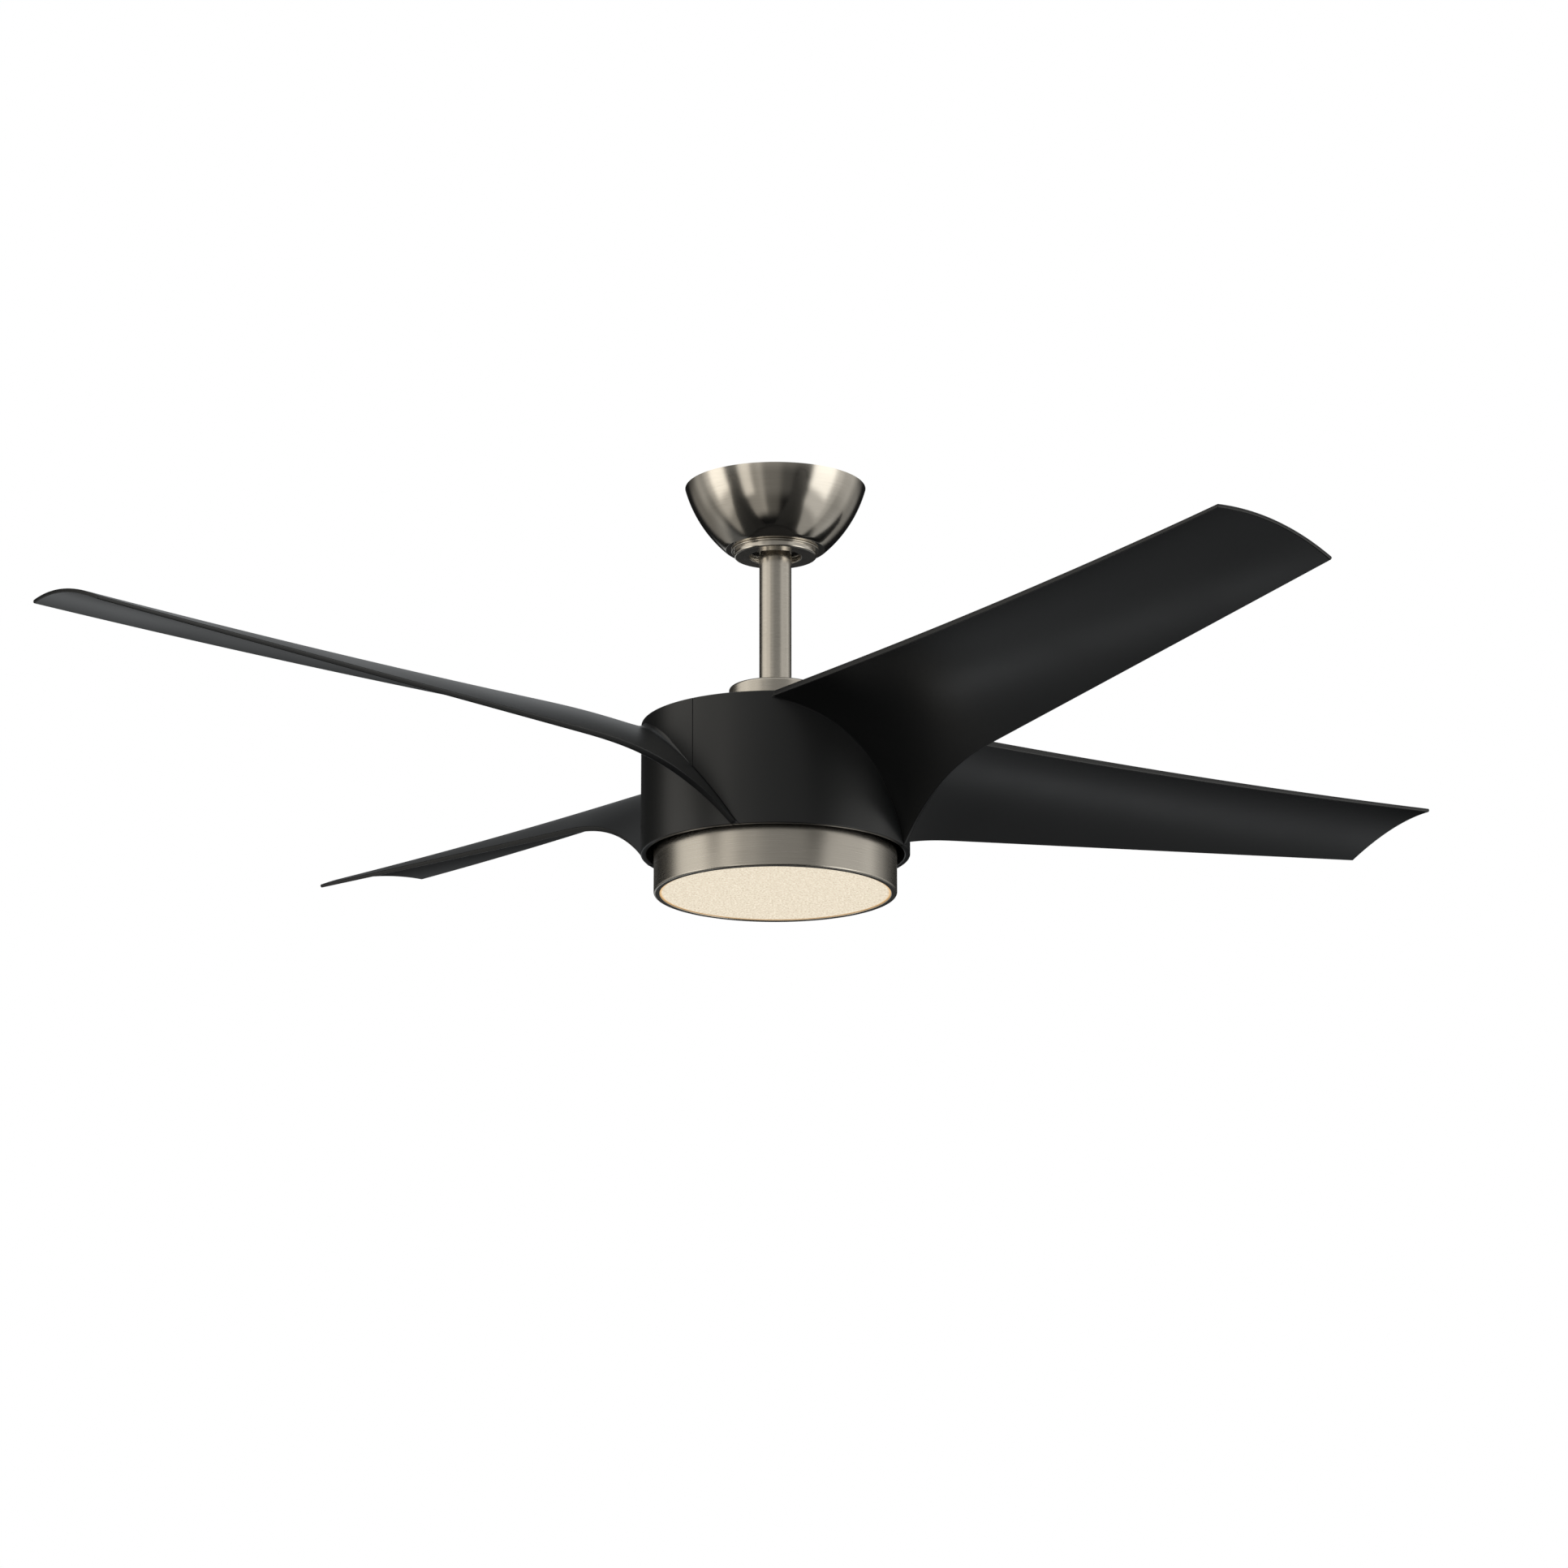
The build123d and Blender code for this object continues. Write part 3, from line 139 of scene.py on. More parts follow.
# azimuth, half width, lowest, highest, softness (degrees), strength, tint
PANELS = (
    (-86, 17, -52, 4, 4, 0.34, WARM),
    (-83, 14, -38, 4, 4, 0.36, WARM),
    (-81, 12, -25, 4, 4, 0.86, WARM),
    (-108, 10, -34, 4, 6, 0.20, WARM),
    (-130, 15, -34, 4, 6, 0.20, WARM),
    (-42, 8, -38, 4, 3, 0.70, WARM),
    (-33, 15, -58, 4, 4, 0.36, WARM),
    (-8, 16, -60, 4, 5, 0.12, WARM),
    (2, 25, -42, 4, 6, 0.09, PLAIN),
    (74, 23, -63, 4, 3, 0.42, PLAIN),
    (71, 20, -44, 4, 4, 0.34, PLAIN),
    (67, 17, -29, 4, 4, 0.92, PLAIN),
    (107, 12, -46, 4, 5, 0.36, PLAIN),
    (132, 14, -34, 4, 6, 0.27, PLAIN),
    (0, 125, -16, 4, 7, 0.19, PLAIN),
    (-90, 18, 4, 55, 7, 0.95, WARM),
    (-56, 18, 4, 55, 8, 0.84, WARM),
    (-30, 14, 4, 55, 8, 0.22, WARM),
    (8, 40, 4, 60, 10, 0.29, PLAIN),
    (0, 75, 36, 60, 6, 0.35, PLAIN),
    (74, 33, 4, 55, 9, 0.62, PLAIN),
    (112, 16, 4, 55, 9, 0.30, PLAIN),
    (180, 70, -62, -22, 8, 0.130, COOL),
    (-157, 4, -50, -37, 2, 0.85, COOL),
    (161, 6, -47, -32, 4, 0.46, COOL),
    (-167, 7, -28, -2, 4, 0.54, COOL),
    (178, 7, 12, 46, 3, 0.38, COOL),
    (-172, 18, 16, 50, 6, 0.12, COOL),
    (0, 181, 60, 92, 8, 0.55, COOL),
)
light_sum = air.nodes.new("ShaderNodeVectorMath")
light_sum.inputs[1].default_value = (0.008, 0.0084, 0.0088)
total = light_sum.outputs[0]
first_panel, *other_panels = [glow_panel(*values) for values in PANELS]
air.links.new(first_panel, light_sum.inputs[0])
for one_panel in other_panels:
    adder = air.nodes.new("ShaderNodeVectorMath")
    air.links.new(total, adder.inputs[0])
    air.links.new(one_panel, adder.inputs[1])
    total = adder.outputs[0]
seen = air.nodes.new("ShaderNodeBackground")
seen.inputs["Color"].default_value = (1, 1, 1, 1)
fill = air.nodes.new("ShaderNodeBackground")
air.links.new(total, fill.inputs["Color"])
ray_kind = air.nodes.new("ShaderNodeLightPath")
air_mix = air.nodes.new("ShaderNodeMixShader")
air_out = air.nodes.new("ShaderNodeOutputWorld")
air.links.new(ray_kind.outputs["Is Camera Ray"], air_mix.inputs["Fac"])
air.links.new(fill.outputs[0], air_mix.inputs[1])
air.links.new(seen.outputs[0], air_mix.inputs[2])
air.links.new(air_mix.outputs[0], air_out.inputs["Surface"])

camera_data = bpy.data.cameras.new("camera")
camera_data.lens = CAMERA_LENS
camera_data.sensor_width = 36
camera_data.shift_x = CAMERA_SHIFT
camera_data.clip_end = 60
camera = bpy.data.objects.new("camera", camera_data)
bpy.context.collection.objects.link(camera)
camera.location = (0, -CAMERA_BACK, CAMERA_Z)
camera.rotation_euler = (radians(90 + CAMERA_PITCH), 0, 0)
bpy.context.scene.camera = camera
bpy.context.scene.view_settings.view_transform = "Standard"


# ---------------------------------------------------------------- hanger bracket and ball
# Pressed and cast steel that the canopy hides: the saddle screwed to the outlet box, the ball
# in its socket, the pins and screws. Zinc plated sheet shows a faint spangle, castings a grain.
def coordinates(tree):
    """Object coordinates, in metres, of the piece that the material is on."""
    return tree.nodes.new("ShaderNodeTexCoord").outputs["Object"]


def new_group(name, ins, outs):
    """Empty shader group with float or colour sockets, and its input and output nodes."""
    group = bpy.data.node_groups.new(name, "ShaderNodeTree")
    group.interface.new_socket("Place", in_out="INPUT", socket_type="NodeSocketVector")
    for label, value in ins:
        socket = group.interface.new_socket(label, in_out="INPUT", socket_type="NodeSocketFloat")
        socket.default_value = value
    for label, kind in outs:
        group.interface.new_socket(label, in_out="OUTPUT", socket_type=kind)
    return group, group.nodes.new("NodeGroupInput"), group.nodes.new("NodeGroupOutput")


def grain_group():
    """Fine cast or moulded grain: two noises at different scales, one broad tone, one height."""
    group, way_in, way_out = new_group(
        "surface_grain",
        [("Fine", 2600.0), ("Broad", 14.0)],
        [("Height", "NodeSocketFloat"), ("Tone", "NodeSocketFloat")])
    fine = group.nodes.new("ShaderNodeTexNoise")
    fine.inputs["Detail"].default_value = 3.0
    broad = group.nodes.new("ShaderNodeTexNoise")
    broad.inputs["Detail"].default_value = 4.0
    for noise, label in ((fine, "Fine"), (broad, "Broad")):
        group.links.new(way_in.outputs["Place"], noise.inputs["Vector"])
        group.links.new(way_in.outputs[label], noise.inputs["Scale"])
    group.links.new(fine.outputs["Fac"], way_out.inputs["Height"])
    group.links.new(broad.outputs["Fac"], way_out.inputs["Tone"])
    return group


surface_grain = grain_group()


def between(tree, mask, low, high):
    """Value that runs from low to high as the mask runs from 0.3 to 0.7."""
    spread = tree.nodes.new("ShaderNodeMapRange")
    tree.links.new(mask, spread.inputs["Value"])
    spread.inputs["From Min"].default_value = 0.3
    spread.inputs["From Max"].default_value = 0.7
    spread.inputs["To Min"].default_value = low
    spread.inputs["To Max"].default_value = high
    return spread.outputs["Result"]


def tinted(tree, mask, dark, light):
    """Colour that runs from dark to light with the mask."""
    ramp = tree.nodes.new("ShaderNodeValToRGB")
    ramp.color_ramp.elements[0].position = 0.3
    ramp.color_ramp.elements[0].color = (*dark, 1)
    ramp.color_ramp.elements[1].position = 0.7
    ramp.color_ramp.elements[1].color = (*light, 1)
    tree.links.new(mask, ramp.inputs["Fac"])
    return ramp.outputs["Color"]


def grained(name, dark, light, metallic, rough, fine=2600.0, broad=14.0, depth=0.00002):
    """Material with a broad tone change, a fine grain and a roughness that follows the tone."""
    made = bpy.data.materials.new(name)
    made.use_nodes = True
    tree = made.node_tree
    skin = tree.nodes["Principled BSDF"]
    skin.inputs["Metallic"].default_value = metallic
    grain = tree.nodes.new("ShaderNodeGroup")
    grain.node_tree = surface_grain
    grain.inputs["Fine"].default_value = fine
    grain.inputs["Broad"].default_value = broad
    tree.links.new(coordinates(tree), grain.inputs["Place"])
    tree.links.new(tinted(tree, grain.outputs["Tone"], dark, light), skin.inputs["Base Color"])
    tree.links.new(between(tree, grain.outputs["Tone"], *rough), skin.inputs["Roughness"])
    bump = tree.nodes.new("ShaderNodeBump")
    bump.inputs["Strength"].default_value = 1.0
    bump.inputs["Distance"].default_value = depth
    tree.links.new(grain.outputs["Height"], bump.inputs["Height"])
    tree.links.new(bump.outputs["Normal"], skin.inputs["Normal"])
    return made


def finish_nodes(material, *names):
    """Puts one finish on carried-over pieces."""
    for name in names:
        mesh = nodes[name].data
        mesh.materials.clear()
        mesh.materials.append(material)


zinc = grained("zinc_plate", (0.42, 0.43, 0.45), (0.62, 0.62, 0.6), 1.0, (0.28, 0.42), 900, 60)
cast_iron = grained("cast_iron", (0.07, 0.07, 0.072), (0.12, 0.12, 0.118), 0.7, (0.5, 0.65),
                    1500, 40, 0.00006)
ground_steel = grained("ground_steel", (0.45, 0.45, 0.46), (0.56, 0.56, 0.55), 1.0, (0.2, 0.3))
earth_green = grained("earth_green", (0.02, 0.22, 0.05), (0.04, 0.3, 0.07), 0.6, (0.3, 0.42))
finish_nodes(zinc, "hanger_bracket", "canopy_screws", "light_mount_plate", "shaft_nut",
             "ring_screws", "led_standoffs", "rotor_screws", "driver_clips")
finish_nodes(cast_iron, "hanger_ball", "motor_coupling")
finish_nodes(ground_steel, "ball_cross_pin", "ball_set_screw", "coupling_pin", "pin_clip",
             "coupling_set_screws", "motor_shaft", "upper_inner_race", "lower_inner_race",
             "upper_outer_race", "lower_outer_race", "bearing_balls")
finish_nodes(earth_green, "ground_screw")


# ---------------------------------------------------------------- receiver and connectors
# The remote control's receiver is a small box of textured black plastic beside the ball, and
# the supply wires are joined by orange screw-on connectors.
receiver_plastic = grained("receiver_plastic", (0.016, 0.016, 0.017), (0.026, 0.026, 0.027), 0.0,
                           (0.5, 0.62), 1400, 30, 0.00008)
connector_plastic = grained("connector_plastic", (0.7, 0.2, 0.02), (0.82, 0.27, 0.03), 0.0,
                            (0.3, 0.4))
finish_nodes(receiver_plastic, "receiver_module")
finish_nodes(connector_plastic, "wire_connectors")


# ---------------------------------------------------------------- canopy
# A bowl spun from sheet steel, plated in satin nickel and brushed while it turned, so the
# brush lines run round it. Its rim closes on the ceiling, and its floor is flat.
def rounded_outline(corners, steps=6):
    """Outline with each corner (r, z, radius) replaced by an arc, and a point beside each arc.

    An arc's centre lies on the corner's bisector. Its points are worked out by turning the
    first radius towards the last, a closed polyline in metres.
    """
    points = []
    flat = np.array([c[:2] for c in corners], float)
    count = len(corners)
    for i in range(count):
        here, before, after = flat[i], flat[i - 1], flat[(i + 1) % count]
        radius = corners[i][2]
        if radius <= 0:
            points.append(here)
            continue
        back = (before - here) / np.linalg.norm(before - here)
        on = (after - here) / np.linalg.norm(after - here)
        half = np.arccos(np.clip(back @ on, -1, 1)) / 2
        reach = min(radius / np.tan(half),
                    0.45 * np.linalg.norm(before - here), 0.45 * np.linalg.norm(after - here))
        radius = reach * np.tan(half)
        centre = here + (back + on) / np.linalg.norm(back + on) * radius / np.sin(half)
        start = here + back * reach - centre
        end = here + on * reach - centre
        sweep = np.arctan2(start[0] * end[1] - start[1] * end[0], start @ end)
        points.append(here + back * reach * 1.12)
        for t in np.linspace(0, sweep, steps + 1):
            turn = np.array([[np.cos(t), -np.sin(t)], [np.sin(t), np.cos(t)]])
            points.append(centre + turn @ start)
        points.append(here + on * reach * 1.12)
    return np.array(points)


def make_mesh(name, points, quads, material):
    """Object from an array of points and an array of quads, smooth except at sharp corners."""
    mesh = bpy.data.meshes.new(name)
    mesh.from_pydata(points.tolist(), [], quads.tolist())
    mesh.polygons.foreach_set("use_smooth", np.ones(len(mesh.polygons), bool))
    mesh.set_sharp_from_angle(angle=radians(38))
    mesh.materials.append(material)
    piece = bpy.data.objects.new(name, mesh)
    bpy.context.collection.objects.link(piece)
    return piece


def lathe_grid(outline, turns):
    """Points (r cos a, r sin a, z) and quads of a closed outline turned about Z."""
    r, z = outline.T
    area = np.sum(r * np.roll(z, -1) - np.roll(r, -1) * z)
    if area < 0:
        r, z = r[::-1], z[::-1]
    a = np.linspace(0, 2 * pi, turns, endpoint=False)[:, None]
    points = np.stack([r * np.cos(a), r * np.sin(a), z + 0 * a], 2).reshape(-1, 3)
    i, j = np.meshgrid(np.arange(turns), np.arange(len(r)), indexing="ij")
    i2, j2 = (i + 1) % turns, (j + 1) % len(r)
    n = len(r)
    quads = np.stack([i * n + j, i2 * n + j, i2 * n + j2, i * n + j2], 2).reshape(-1, 4)
    return points, quads


def lathe(name, outline, material, turns=240):
    """Turned piece: a closed outline of (radius, height) carried round the fan's axis."""
    points, quads = lathe_grid(outline, turns)
    return make_mesh(name, points, quads, material)


def brushing_group():
    """Brush lines that run round the axis: noise that changes fast with radius and height and
    slowly with the angle, so it looks like long fine scratches. Also a slow tone along them."""
    group, way_in, way_out = new_group(
        "turned_brushing",
        [("Lines", 2400.0), ("Length", 2.2), ("Broad", 9.0)],
        [("Height", "NodeSocketFloat"), ("Tone", "NodeSocketFloat")])
    split = group.nodes.new("ShaderNodeSeparateXYZ")
    group.links.new(way_in.outputs["Place"], split.inputs[0])
    x, y, z = split.outputs
    radius = math_node(group, "SQRT", math_node(
        group, "ADD", math_node(group, "MULTIPLY", x, x), math_node(group, "MULTIPLY", y, y)))
    ways = []
    for side in (x, y):
        share = math_node(group, "DIVIDE", side, math_node(group, "MAXIMUM", radius, 0.001))
        ways.append(math_node(group, "MULTIPLY", share, way_in.outputs["Length"]))
    depth = math_node(group, "ADD", math_node(group, "MULTIPLY", radius, 0.83), z)
    lines = math_node(group, "MULTIPLY", depth, way_in.outputs["Lines"])
    place = group.nodes.new("ShaderNodeCombineXYZ")
    for source, target in zip((*ways, lines), place.inputs):
        group.links.new(source, target)
    scratches = group.nodes.new("ShaderNodeTexNoise")
    scratches.inputs["Scale"].default_value = 1.0
    scratches.inputs["Detail"].default_value = 5.0
    scratches.inputs["Roughness"].default_value = 0.62
    group.links.new(place.outputs[0], scratches.inputs["Vector"])
    clouds = group.nodes.new("ShaderNodeTexNoise")
    clouds.inputs["Detail"].default_value = 3.0
    group.links.new(way_in.outputs["Place"], clouds.inputs["Vector"])
    group.links.new(way_in.outputs["Broad"], clouds.inputs["Scale"])
    tone = math_node(group, "ADD", math_node(group, "MULTIPLY", scratches.outputs["Fac"], 0.6),
                     math_node(group, "MULTIPLY", clouds.outputs["Fac"], 0.4))
    group.links.new(scratches.outputs["Fac"], way_out.inputs["Height"])
    group.links.new(tone, way_out.inputs["Tone"])
    return group


turned_brushing = brushing_group()


def nickel(name, rough, depth, lines=2400.0, aniso=0.6):
    """Satin nickel brushed round the axis, warm grey, glossier along the brush lines."""
    made = bpy.data.materials.new(name)
    made.use_nodes = True
    tree = made.node_tree
    skin = tree.nodes["Principled BSDF"]
    skin.inputs["Metallic"].default_value = 1.0
    skin.inputs["Anisotropic"].default_value = aniso
    brush = tree.nodes.new("ShaderNodeGroup")
    brush.node_tree = turned_brushing
    brush.inputs["Lines"].default_value = lines
    tree.links.new(coordinates(tree), brush.inputs["Place"])
    tone = brush.outputs["Tone"]
    tree.links.new(tinted(tree, tone, (0.50, 0.465, 0.41), (0.64, 0.60, 0.535)),
                   skin.inputs["Base Color"])
    tree.links.new(between(tree, tone, rough[0], rough[1]), skin.inputs["Roughness"])
    bump = tree.nodes.new("ShaderNodeBump")
    bump.inputs["Distance"].default_value = depth
    tree.links.new(brush.outputs["Height"], bump.inputs["Height"])
    tree.links.new(bump.outputs["Normal"], skin.inputs["Normal"])
    round_axis = tree.nodes.new("ShaderNodeTangent")
    round_axis.direction_type = "RADIAL"
    round_axis.axis = "Z"
    tree.links.new(round_axis.outputs[0], skin.inputs["Tangent"])
    return made


satin_nickel = nickel("satin_nickel", (0.10, 0.15), 0.0000022)
ring_nickel = nickel("ring_nickel", (0.23, 0.29), 0.0000016, 2600.0, 0.35)

canopy_low, canopy_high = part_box("canopy")
CANOPY_SHEET = 0.0012
canopy_r = canopy_high.x
canopy_drop = -canopy_low.z
CANOPY_FLOOR_R = 0.0413
CANOPY_HOLE_R = 0.0250


def bowl_arc(rim, waist, foot, steps):
    """Arc through three points (r, z), round the centre that is equally far from all three."""
    (ax, ay), (bx, by), (cx, cy) = rim, waist, foot
    d = 2 * (ax * (by - cy) + bx * (cy - ay) + cx * (ay - by))
    a2, b2, c2 = ax**2 + ay**2, bx**2 + by**2, cx**2 + cy**2
    ux = (a2 * (by - cy) + b2 * (cy - ay) + c2 * (ay - by)) / d
    uy = (a2 * (cx - bx) + b2 * (ax - cx) + c2 * (bx - ax)) / d
    start = np.arctan2(ay - uy, ax - ux)
    end = np.arctan2(cy - uy, cx - ux)
    t = np.linspace(start, end, steps)
    reach = np.hypot(ax - ux, ay - uy)
    return np.stack([ux + reach * np.cos(t), uy + reach * np.sin(t)], 1)


bowl_foot = (CANOPY_FLOOR_R + 0.0016, -(canopy_drop - CANOPY_SHEET))
bowl_waist = (canopy_r - 0.0116, -0.0268)
bowl_outside = bowl_arc((canopy_r, 0), bowl_waist, bowl_foot, 48)
bowl_inside = bowl_outside[::-1] - np.array([CANOPY_SHEET, 0])
floor_corner = rounded_outline([
    (bowl_foot[0], bowl_foot[1], 0), (CANOPY_FLOOR_R, -canopy_drop, 0.0004),
    (CANOPY_HOLE_R, -canopy_drop, 0.0003), (CANOPY_HOLE_R, bowl_foot[1], 0.0003)])[1:]
canopy = lathe("canopy_bowl", np.concatenate([bowl_outside, floor_corner, bowl_inside]),
               satin_nickel)
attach(canopy, "ceiling_mount")
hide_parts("canopy")


# ---------------------------------------------------------------- canopy cap
# A shallow cup pressed from the same sheet and polished a little brighter. It snaps over the
# canopy's screws, and its hole is wide enough for the rod to tilt.
cap_low, cap_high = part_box("canopy_cap")
bright_nickel = nickel("bright_nickel", (0.14, 0.22), 0.000003, 3200.0, 0.4)
CAP_HOLE_R = 0.0217
CAP_WALL = 0.0012
CAP_FLANGE_OUT = 0.0022
CAP_FLANGE_H = 0.0016
cap_flange_r = cap_high.x
cap_r = cap_flange_r - CAP_FLANGE_OUT
cap_outline = rounded_outline([
    (cap_flange_r, cap_high.z, 0.0006), (cap_flange_r, cap_high.z - CAP_FLANGE_H, 0.0006),
    (cap_r, cap_high.z - CAP_FLANGE_H, 0.0003), (cap_r, cap_low.z, 0.0015),
    (CAP_HOLE_R, cap_low.z, 0.0004), (CAP_HOLE_R, cap_low.z + CAP_WALL, 0.0003),
    (cap_r - CAP_WALL, cap_low.z + CAP_WALL, 0.0005), (cap_r - CAP_WALL, cap_high.z, 0.0003)])
cap = lathe("canopy_cap_cup", cap_outline, bright_nickel)
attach(cap, "ceiling_mount")
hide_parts("canopy_cap")


# ---------------------------------------------------------------- downrod
# Three-quarter inch steel pipe, plated like the canopy, pinned to the ball and the coupling.
rod_low, rod_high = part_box("downrod")
ROD_WALL = 0.0028
rod_r = rod_high.x
rod_outline = rounded_outline([
    (rod_r, rod_high.z, 0.0006), (rod_r, rod_low.z, 0.0006),
    (rod_r - ROD_WALL, rod_low.z, 0.0004), (rod_r - ROD_WALL, rod_high.z, 0.0004)])
rod_nickel = nickel("rod_nickel", (0.22, 0.28), 0.000004, 1500.0, 0.5)
downrod = lathe("downrod_pipe", rod_outline, rod_nickel, 128)
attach(downrod, "hanging")
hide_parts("downrod")


# ---------------------------------------------------------------- coupling cover
# A drawn nickel collar that drops over the coupling. It hangs still, just above the plate
# that turns with the blades.
cover_low, cover_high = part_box("coupling_cover")
cover_r = cover_high.x
COVER_SHEET = 0.0012
COVER_HOLE_R = rod_r + 0.0003
cover_outline = rounded_outline([
    (cover_r, cover_high.z, 0.0022), (cover_r, cover_low.z, 0.0004),
    (cover_r - COVER_SHEET, cover_low.z, 0.0004),
    (cover_r - COVER_SHEET, cover_high.z - COVER_SHEET, 0.0012),
    (COVER_HOLE_R, cover_high.z - COVER_SHEET, 0.0003), (COVER_HOLE_R, cover_high.z, 0.0003)])
cover = lathe("coupling_collar", cover_outline, ring_nickel)
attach(cover, "hanging")
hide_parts("coupling_cover")


# ---------------------------------------------------------------- motor
# Die cast rotor shells on two ball bearings, ferrite magnets, and a laminated stator with a
# copper coil on each tooth. All of it is closed in by the blade mouldings.
cast_aluminium = grained("cast_aluminium", (0.42, 0.42, 0.43), (0.56, 0.56, 0.56), 1.0,
                         (0.42, 0.58), 1200, 30, 0.00005)
ferrite = grained("ferrite", (0.03, 0.03, 0.032), (0.05, 0.05, 0.052), 0.2, (0.45, 0.6))
copper = grained("copper_wire", (0.36, 0.12, 0.03), (0.55, 0.22, 0.07), 0.9, (0.3, 0.45),
                 1100, 80, 0.00015)
lamination = grained("lamination", (0.12, 0.12, 0.125), (0.2, 0.2, 0.2), 0.9, (0.4, 0.55),
                     2200, 30, 0.00005)
finish_nodes(cast_aluminium, "rotor_cup", "rotor_lid")
finish_nodes(ferrite, "magnets")
finish_nodes(copper, "stator_coils")
finish_nodes(lamination, "stator_core")


# ---------------------------------------------------------------- blade mouldings
# Black moulded plastic, satin. Each blade is one piece with a quarter of the housing wall and
# a flange that bolts to the rotor. The wall panels meet at a fine upright seam, which then
# follows the top of the next blade's root down to the lower rim.
BLADE_COUNT = 4
FIRST_BLADE = radians(-55.9)
HOUSING_R = 0.1108
HOUSING_WALL = 0.0046
HOUSING_H = 0.1103
housing_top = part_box("blade_1")[0].z + HOUSING_H
SWEEP_R = 0.6604
SEAM = radians(18.5)
SEAM_GAP = 0.00024
EDGE_ROUND = 0.0008
ROOT_SWEEP = 0.04506
ROOT_HALF_CHORD = 0.0689
SWEEP_START = 0.230
RIM_DROP = 0.00275
TIP_RISE = 0.0144
RISE_START = 0.120
TIP_DEPTH = 0.0224
TRAIL_SLOPE = 0.095
BLADE_START = 0.086
ROOT_THICK = 0.0055
TIP_THINNER = 0.0025
UPPER_FILLET = 0.0075
LOWER_FILLET = 0.0006
FLANGE_IN = 0.058
FLANGE_T = 0.0045
POST_R = 0.096


def lead_and_trail(x):
    """Leading and trailing edge (y, z) and the camber at span x, in the blade's own frame.

    The leading edge stays level and then rises as a parabola. The trailing edge falls along a
    straight line, and by a power of the way left to the root near the housing.
    """
    root_x = np.sqrt(HOUSING_R**2 - ROOT_HALF_CHORD**2)
    span = (x - root_x) / (SWEEP_R - root_x)
    left = np.clip(1 - span, 0, None)
    root_left = (SWEEP_START - np.maximum(x, root_x)) / (SWEEP_START - root_x)
    root = np.clip(root_left, 0, None) ** 2.7
    rise = TIP_RISE * (np.clip(x - RISE_START, 0, None) / (SWEEP_R - RISE_START)) ** 2
    rim = housing_top - RIM_DROP
    lead_z = rim + rise
    trail_z = rim + TIP_RISE - TIP_DEPTH - TRAIL_SLOPE * (SWEEP_R - x) - ROOT_SWEEP * root
    lead_y = -0.0533 - 0.0106 * left**1.2
    trail_y = 0.0536 + 0.0107 * left + 0.0046 * root
    camber = 0.0068 + 0.0058 * left + 0.0033 * root
    return lead_y, lead_z, trail_y, trail_z, camber


def blade_middle(x, v):
    """Middle surface of the blade: at span x, a parabola from the leading edge (v = 0) to the
    trailing edge (v = 1). Returns y, z and the slope dz/dy."""
    lead_y, lead_z, trail_y, trail_z, camber = lead_and_trail(x)
    bow = 4 * camber
    y = lead_y + (trail_y - lead_y) * v
    z = lead_z + (trail_z - lead_z) * v + bow * v * (1 - v)
    slope = ((trail_z - lead_z) + bow * (1 - 2 * v)) / (trail_y - lead_y)
    return y, z, slope


def blade_thick(x):
    """Thickness, which falls evenly from root to tip."""
    span = np.clip((x - BLADE_START) / (SWEEP_R - BLADE_START), 0, 1)
    return ROOT_THICK - TIP_THINNER * span


def edge_steps(length, radius, count):
    """Distances from 0 to length, close together within a radius of both ends."""
    near = radius * np.array([0.0, 0.08, 0.25, 0.5, 0.75, 1.0, 1.4, 2.2])
    middle = np.linspace(near[-1], length - near[-1], count)[1:-1]
    return np.concatenate([near, middle, (length - near)[::-1]])


def edge_fall(distance, radius):
    """How much a rounded edge lies below the flat, at a distance from the edge."""
    near = np.clip(radius - distance, 0, radius)
    return radius - np.sqrt(np.clip(radius**2 - near**2, 0, None))


def slab(upper, lower):
    """Closed shell from two grids of points with the same shape, joined along their borders."""
    rows, cols = upper.shape[:2]
    points = np.concatenate([upper.reshape(-1, 3), lower.reshape(-1, 3)])
    index = np.arange(rows * cols).reshape(rows, cols)
    face = np.stack([index[:-1, :-1], index[1:, :-1], index[1:, 1:], index[:-1, 1:]], 2)
    face = face.reshape(-1, 4)
    other = face[:, ::-1] + rows * cols
    ring = np.concatenate([index[0, :-1], index[:-1, -1], index[-1, :0:-1], index[:0:-1, 0]])
    after = np.roll(ring, -1)
    side = np.stack([ring, after, after + rows * cols, ring + rows * cols], 1)
    return points, np.concatenate([face, other, side])


def limit_span(v, radius):
    """Span x at which the line of constant v crosses a cylinder of that radius."""
    x = np.full_like(v, radius)
    for _ in range(12):
        y = blade_middle(x, v)[0]
        x = np.sqrt(radius**2 - y**2)
    return x


